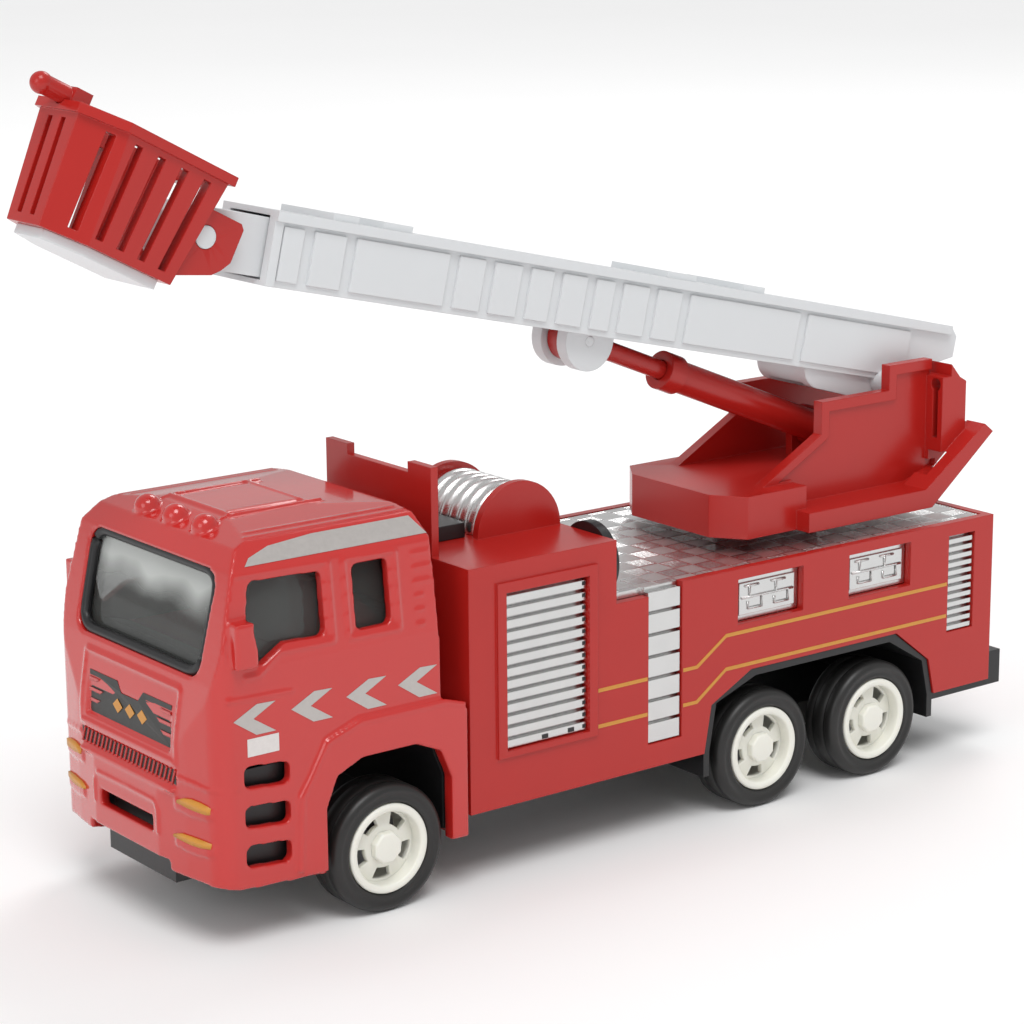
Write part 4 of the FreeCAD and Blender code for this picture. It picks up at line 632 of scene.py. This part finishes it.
def flank_trim(bm, sign):
    """Window sills, heads and posts, belt line, vent ribs, roof lines and wheel flare of one side."""
    lines = [[(62.9, 50.3), (49.1, 50.0)], [(46.7, 49.9), (38.6, 49.7)], [(57.4, 39.6), (49.1, 39.5)],
             [(57.4, 39.6), (60.9, 37.1), (63.1, 37.1)], [(46.7, 39.4), (38.6, 39.3)],
             [(49.1, 50.0), (49.1, 39.5)], [(46.7, 49.9), (46.7, 39.4)], [(38.6, 49.7), (38.6, 39.3)]]
    for line in lines:
        rod(bm, flank_path(sign, line, -0.12), 0.42, 8)
    rod(bm, flank_path(sign, [(65.7, 34.4), (55.8, 34.1)], -0.08), 0.3, 8)
    rib_x, rib_top, rib_pitch = 35.8, 48.8, 1.9
    for i in range(6):
        length = 2.6 if i < 3 else 1.2
        z = rib_top - rib_pitch * i
        rod(bm, flank_path(sign, [(rib_x, z), (rib_x - length, z)], -0.1), 0.28, 6)
    for across, front, rear in ((14.3, 58.5, 35.0), (15.9, 59.5, 34.6)):
        z = 55.2 - (across - 8.0) * 0.148
        rod(bm, [(front, sign * across, z - 0.05), (rear, sign * across, z - 0.05)], 0.24, 6)
    flare = [(28.4, 26.9), (31.6, 27.9), (45.6, 27.9), (50.8, 26.1), (54.9, 19.4), (55.4, 9.2)]
    rod(bm, [(x, sign * 21.05, z) for x, z in flare], 0.45, 8)


def front_trim(bm, sign):
    """Bumper crease, panel edge, slot frame and lamp brows of one half of the cab's front."""
    crease = [(12.5, 22.9), (14.5, 22.8), (16.5, 22.6), (18.5, 22.4), (19.6, 22.4)]
    rod(bm, [front_point(sign * y, z, -0.15) for y, z in crease] + [(64.4, sign * 20.6, 22.6)], 0.42, 8)
    rod(bm, [front_point(sign * 12.3, z, -0.15) for z in (24.4, 27.0, 29.0, 31.5, 34.4)], 0.4, 8)
    slot = [(8.3, 14.2), (8.3, 17.2), (7.6, 18.5), (0, 18.6)]
    rod(bm, [front_point(sign * y, z, -0.1) for y, z in slot], 0.35, 8)
    brow = ((12.1, 19.6), (13.6, 19.4), (15.2, 19.2), (16.8, 19.2), (18.2, 19.3), (19.2, 19.5))
    lamp_step = 5.1
    for drop in (0.0, -lamp_step):
        ribbon(bm, [(sign * y, z + drop - 0.9, z + drop + 0.3) for y, z in brow], 0.3)


def cab_trim(bm):
    """Raised lines cast on the cab, most of them on both sides."""
    for sign in (1, -1):
        flank_trim(bm, sign)
        front_trim(bm, sign)
    panel_half, hatch_half = 12.1, 7.6
    for nose_z, z, radius in ((34.6, 34.5, 0.4), (24.8, 24.8, 0.35), (20.9, 20.9, 0.35)):
        x = cab_nose(nose_z) - 0.1
        rod(bm, [(x, -panel_half, z), (x, panel_half, z)], radius, 8)
    for x in (44.3, 56.4):
        rod(bm, [(x, -hatch_half, 55.2), (x, hatch_half, 55.2)], 0.22, 6)
    for across in (-hatch_half, hatch_half):
        rod(bm, [(58.2, across, 54.7), (56.4, across, 55.1), (42.0, across, 55.15)], 0.22, 6)


def cab():
    """The cab's CAD shell and its raised lines, melted into one casting and softened by paint."""
    bm = bmesh.new()
    bm.from_mesh(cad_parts["cab_shell"].data)
    bmesh.ops.remove_doubles(bm, verts=bm.verts, dist=WELD)
    cab_trim(bm)
    obj = piece("cab_casting", to_mesh("cab_cast", bm), ENAMEL, "vehicle", "cab_paint", "cab_shell")
    remesh = obj.modifiers.new("cast", "REMESH")
    remesh.mode = "VOXEL"
    remesh.voxel_size = 0.25 * MM
    remesh.use_smooth_shade = True
    soften = obj.modifiers.new("paint", "SMOOTH")
    soften.factor = 0.5
    soften.iterations = 3


def cab_gasket():
    """Black edge of the windscreen insert."""
    plan = rounded([(-15.4, 36.9), (15.4, 36.9), (15.8, 50.0), (-15.8, 50.0)], 3.2, 7)
    bm = bmesh.new()
    rod(bm, [(cab_nose(p.y) - 0.9, p.x, p.y) for p in plan], 0.75, 10, closed=True)
    piece("windscreen_edge", to_mesh("windscreen_edge", bm), BLACK, "vehicle", "black_plastic")


def cab_prints():
    """Flat printed marks: chevrons, blank plate, silver roof band, gold lamp strips."""
    silver, white, gold = bmesh.new(), bmesh.new(), bmesh.new()
    chevron = [(0.0, 31.6), (-3.6, 33.4), (-6.4, 33.3), (-3.0, 31.5), (-6.4, 29.3), (-3.4, 29.3)]
    roof_band = [(61.4, 0.7), (60.4, 1.8), (57.0, 3.0), (50.0, 3.6), (34.6, 3.6), (32.9, 0.7)]
    lamps = (((12.7, 19.5, 19.9), (13.7, 19.4, 20.3), (15.2, 19.2, 20.5), (16.8, 19.1, 20.4),
              (18.2, 19.1, 20.2), (18.8, 19.2, 20.0)),
             ((11.8, 14.7, 15.0), (13.2, 14.5, 15.35), (15.2, 14.3, 15.35), (17.0, 14.3, 15.3),
              (18.7, 14.5, 15.2)))
    low, high = Vector((19.4, 50.6)), Vector((16.8, 53.9))  # the roof's slope, as (y, z)
    lean = (high - low).normalized()
    out = Vector((lean.y, -lean.x))
    for sign in (1, -1):
        side = on_side(sign, CAB_SIDE + 0.02)
        for tip in (64.9, 56.1, 47.5, 39.2):
            prism(silver, [(tip + x, z) for x, z in chevron], PRINT, side)
        prism(white, [(62.9, 26.5), (62.9, 28.9), (58.1, 28.9), (58.1, 26.5)], PRINT, side)

        def slope(x, up, height, sign=sign):
            point = low + lean * up + out * (height + 0.03)
            return x, sign * point.x, point.y

        prism(silver, roof_band, PRINT, slope)
        for strip in lamps:
            ribbon(gold, [(sign * y, bottom, top) for y, bottom, top in strip], 0.36)
    piece("side_chevrons", to_mesh("side_chevrons", silver, False), SILVER_INK, "vehicle", "silver_plating")
    piece("blank_plates", to_mesh("blank_plates", white, False), WHITE_INK, "vehicle", "white_plastic")
    piece("lamp_strips", to_mesh("lamp_strips", gold), GOLD_INK, "vehicle", "cab_paint")


def cab_face():
    """Badge panel without a badge, and the mesh strip under it."""
    panel_x, mark = 68.05, 0.05

    def on_panel(proud):
        return lambda y, z, height: (min(panel_x, cab_nose(z)) + proud + height, y, z)

    black, red, gold = bmesh.new(), bmesh.new(), bmesh.new()
    panel_half = 10.7
    panel = [(-panel_half, 26.1), (panel_half, 26.1), (panel_half, 32.0), (3.4, 32.0), (2.2, 30.6),
             (-2.2, 30.6), (-3.4, 32.0), (-panel_half, 32.0)]
    prism(black, panel, 0.06, on_panel(0.04))
    for sign in (1, -1):
        for z, inner in ((30.6, 7.9), (29.1, 7.0), (27.6, 7.9)):
            slash = [(panel_half, z), (panel_half, z + 0.5), (inner, z + 0.5), (inner + 0.8, z)]
            prism(red, [(sign * y, z) for y, z in slash], mark, on_panel(0.1))
    diamond, diamond_z, diamond_pitch = 1.25, 28.6, 3.2
    for i in (-1, 0, 1):
        y = diamond_pitch * i
        prism(gold, [(y - diamond, diamond_z), (y, diamond_z - 1.0), (y + diamond, diamond_z),
                     (y, diamond_z + 1.0)], mark, on_panel(0.1))
    strip_half, strip_bars, bar_pitch, bar_slant = 12.3, 24, 1.026, 0.45
    prism(black, [(-strip_half, 21.6), (strip_half, 21.6), (strip_half, 23.9), (-strip_half, 23.9)], 0.1,
          on_front(68.55))
    for i in range(strip_bars):
        y = -11.8 + i * bar_pitch
        rod(red, [(68.7, y - bar_slant, 21.7), (68.7, y + bar_slant, 23.8)], 0.2, 6)
    piece("badge_panel", to_mesh("badge_panel", black, False), BLACK_INK, "vehicle", "black_plastic")
    piece("badge_slashes", to_mesh("badge_slashes", red, False), ENAMEL, "vehicle", "cab_paint")
    piece("badge_diamonds", to_mesh("badge_diamonds", gold, False), GOLD_INK, "vehicle", "cab_paint")


# ---------------------------------------------------------------------------
# Rear body prints and locker relief
# ---------------------------------------------------------------------------
def band(bm, points, width, place):
    """A flat stripe of even width along a path of (x, z) points."""
    line = [Vector(p) for p in points]
    edges = ([], [])
    for i, point in enumerate(line):
        ahead = (line[min(i + 1, len(line) - 1)] - line[max(i - 1, 0)]).normalized()
        across = Vector((-ahead.y, ahead.x)) * width / 2
        edges[0].append(tuple(point + across))
        edges[1].append(tuple(point - across))
    prism(bm, edges[0] + list(reversed(edges[1])), PRINT, place)


def body_stripes():
    """Two gold lines that step up over the rear wheels, one above the other."""
    stripe = 0.55
    bm = bmesh.new()
    for sign in (1, -1):
        side = on_side(sign, BODY_SIDE + 0.01)
        for low, high in ((24.23, 27.91), (18.95, 22.83)):
            band(bm, [(5.2, low), (-3.9, low)], stripe, side)
            band(bm, [(-10.6, low), (-13.2, low), (-18.8, high), (-64.2, high)], stripe, side)
    piece("gold_stripes", to_mesh("gold_stripes", bm, False), GOLD_INK, "vehicle", "red_plastic")


def locker_relief():
    """Hinges and catches moulded on the locker doors, and the shutter's pull tabs and guide teeth."""
    hinges = (([(-1.5, 30.9), (-1.5, 32.7), (0.9, 32.7), (0.9, 34.4)], 0.22),
              ([(-0.9, 34.4), (1.8, 34.4)], 0.2), ([(-1.5, 31.0), (1.2, 31.0), (1.2, 32.0)], 0.2))
    door_y, tab_y, tooth_y = 20.16, 20.55, 20.62
    hinge_offset, bar_inset, bar_z = 2.6, 1.4, 32.7
    teeth, tooth_low, tooth_pitch = 13, 19.2, 1.73
    bm = bmesh.new()
    dark = bmesh.new()
    for sign in (1, -1):
        y = sign * door_y
        for rear, front in ((-33.97, -21.06), (-56.23, -43.29)):
            middle = (rear + front) / 2
            for x in (middle - hinge_offset, middle + hinge_offset):
                for path, radius in hinges:
                    rod(bm, [(x + along, y, z) for along, z in path], radius, 6)
            rod(bm, [(rear + bar_inset, y, bar_z), (front - bar_inset, y, bar_z)], 0.2, 6)
        for x in (9.3, 13.9):
            prism(dark, [(x, 19.1), (x + 1.0, 19.1), (x + 1.0, 19.7), (x, 19.7)], 0.25, on_side(sign, tab_y))
        for i in range(teeth):
            z = tooth_low + i * tooth_pitch
            prism(dark, [(7.2, z), (7.2, z + 0.55), (7.75, z + 0.55), (7.75, z)], 0.12,
                  on_side(sign, tooth_y))
    piece("locker_hardware", to_mesh("locker_hardware", bm), SILVER, "vehicle", "silver_plating")
    piece("shutter_catches", to_mesh("shutter_catches", dark, False), DARK, "vehicle", "black_plastic")


# ---------------------------------------------------------------------------
# Camera, floor and lights
# ---------------------------------------------------------------------------
def camera():
    """The camera at the front left, a little above the roof."""
    place = Vector((247.55, 319.19, 143.9)) * MM
    azimuth, elevation, roll = math.radians(142.664), math.radians(13.712), math.radians(-0.463)
    forward = Vector((-math.sin(azimuth) * math.cos(elevation), math.cos(azimuth) * math.cos(elevation),
                      -math.sin(elevation)))
    right = forward.cross(Vector((0, 0, 1))).normalized()
    up = right.cross(forward)
    tilted_right = right * math.cos(roll) + up * math.sin(roll)
    tilted_up = up * math.cos(roll) - right * math.sin(roll)
    data = bpy.data.cameras.new("camera")
    data.lens = 100.53
    data.sensor_width = 36.0
    data.clip_start = 0.01
    data.clip_end = 50.0
    obj = bpy.data.objects.new("camera", data)
    turn = Matrix((tilted_right, tilted_up, -forward)).transposed().to_4x4()
    obj.matrix_world = Matrix.Translation(place) @ turn
    bpy.context.scene.collection.objects.link(obj)
    bpy.context.scene.camera = obj


def lamp(name, place, aim, size, power):
    """A round area light at a place in metres, aimed at a point."""
    data = bpy.data.lights.new(name, "AREA")
    data.shape = "DISK"
    data.size = size
    data.energy = power
    obj = bpy.data.objects.new(name, data)
    obj.location = place
    obj.rotation_euler = (Vector(aim) - Vector(place)).to_track_quat("-Z", "Y").to_euler()
    bpy.context.scene.collection.objects.link(obj)


def sun(name, place, strength, spread):
    """Even light from the direction of place, softened over spread degrees."""
    data = bpy.data.lights.new(name, "SUN")
    data.energy = strength
    data.angle = math.radians(spread)
    obj = bpy.data.objects.new(name, data)
    obj.rotation_euler = (-Vector(place)).to_track_quat("-Z", "Y").to_euler()
    bpy.context.scene.collection.objects.link(obj)


def studio():
    """A pale floor, a white world and three lights."""
    bm = bmesh.new()
    bmesh.ops.create_grid(bm, x_segments=1, y_segments=1, size=8.0)
    mesh = to_mesh("floor", bm)
    floor = bpy.data.objects.new("floor", mesh)
    shade = Shade("pale_floor", Roughness=0.9)
    at, _, _, _ = shade.place()
    patches = shade.noise(at, 0.004)
    shade.drive("Base Color", shade.mix(patches, (0.93, 0.93, 0.93, 1), (0.96, 0.96, 0.96, 1)))
    mesh.materials.append(shade.material)
    bpy.context.scene.collection.objects.link(floor)
    world = bpy.data.worlds.new("studio") if not bpy.data.worlds else bpy.data.worlds[0]
    bpy.context.scene.world = world
    world.use_nodes = True
    background = world.node_tree.nodes["Background"]
    background.inputs["Color"].default_value = (1.0, 1.0, 1.0, 1.0)
    background.inputs["Strength"].default_value = 0.56
    sun("key", (0.22, 0.5, 1.0), 1.35, 30)
    lamp("fill", (0.95, 0.25, 0.45), (0, 0, 0.05), 0.6, 1.5)
    lamp("back", (-0.7, -0.4, 0.9), (0, 0, 0.06), 0.5, 3.0)
    bpy.context.scene.view_settings.view_transform = "Standard"


FINISHES = (
    (RED_PLASTIC, 0.16, ("rear_body", "turret")),
    (RED_PLASTIC, 0.12, ("bucket", "water_monitor", "ram_barrel", "ram_rod")),
    (WHITE_PLASTIC, 0.16, ("boom_outer", "boom_inner", "turntable_disc", "bucket_tray")),
    (BLACK, 0.15, ("chassis", "reel_cradle", "coupling_disc")),
    (DARK, 0.12, ("cab_interior", "steering_wheel")),
    (STEEL, 0.06, ("chassis_screws", "turret_washer", "turret_screw", "ram_foot_pin", "ram_eye_pin")),
    (DECK, 0.08, ("deck_insert",)),
    (SILVER, 0.05, ("hose_reel",)),
    (SMOKED, 0.0, ("cab_glazing",)),
)
for material, edge, names in FINISHES:
    for name in names:
        dress(name, material, edge)
wheels()
cab()
cab_gasket()
cab_prints()
cab_face()
body_stripes()
locker_relief()
camera()
studio()
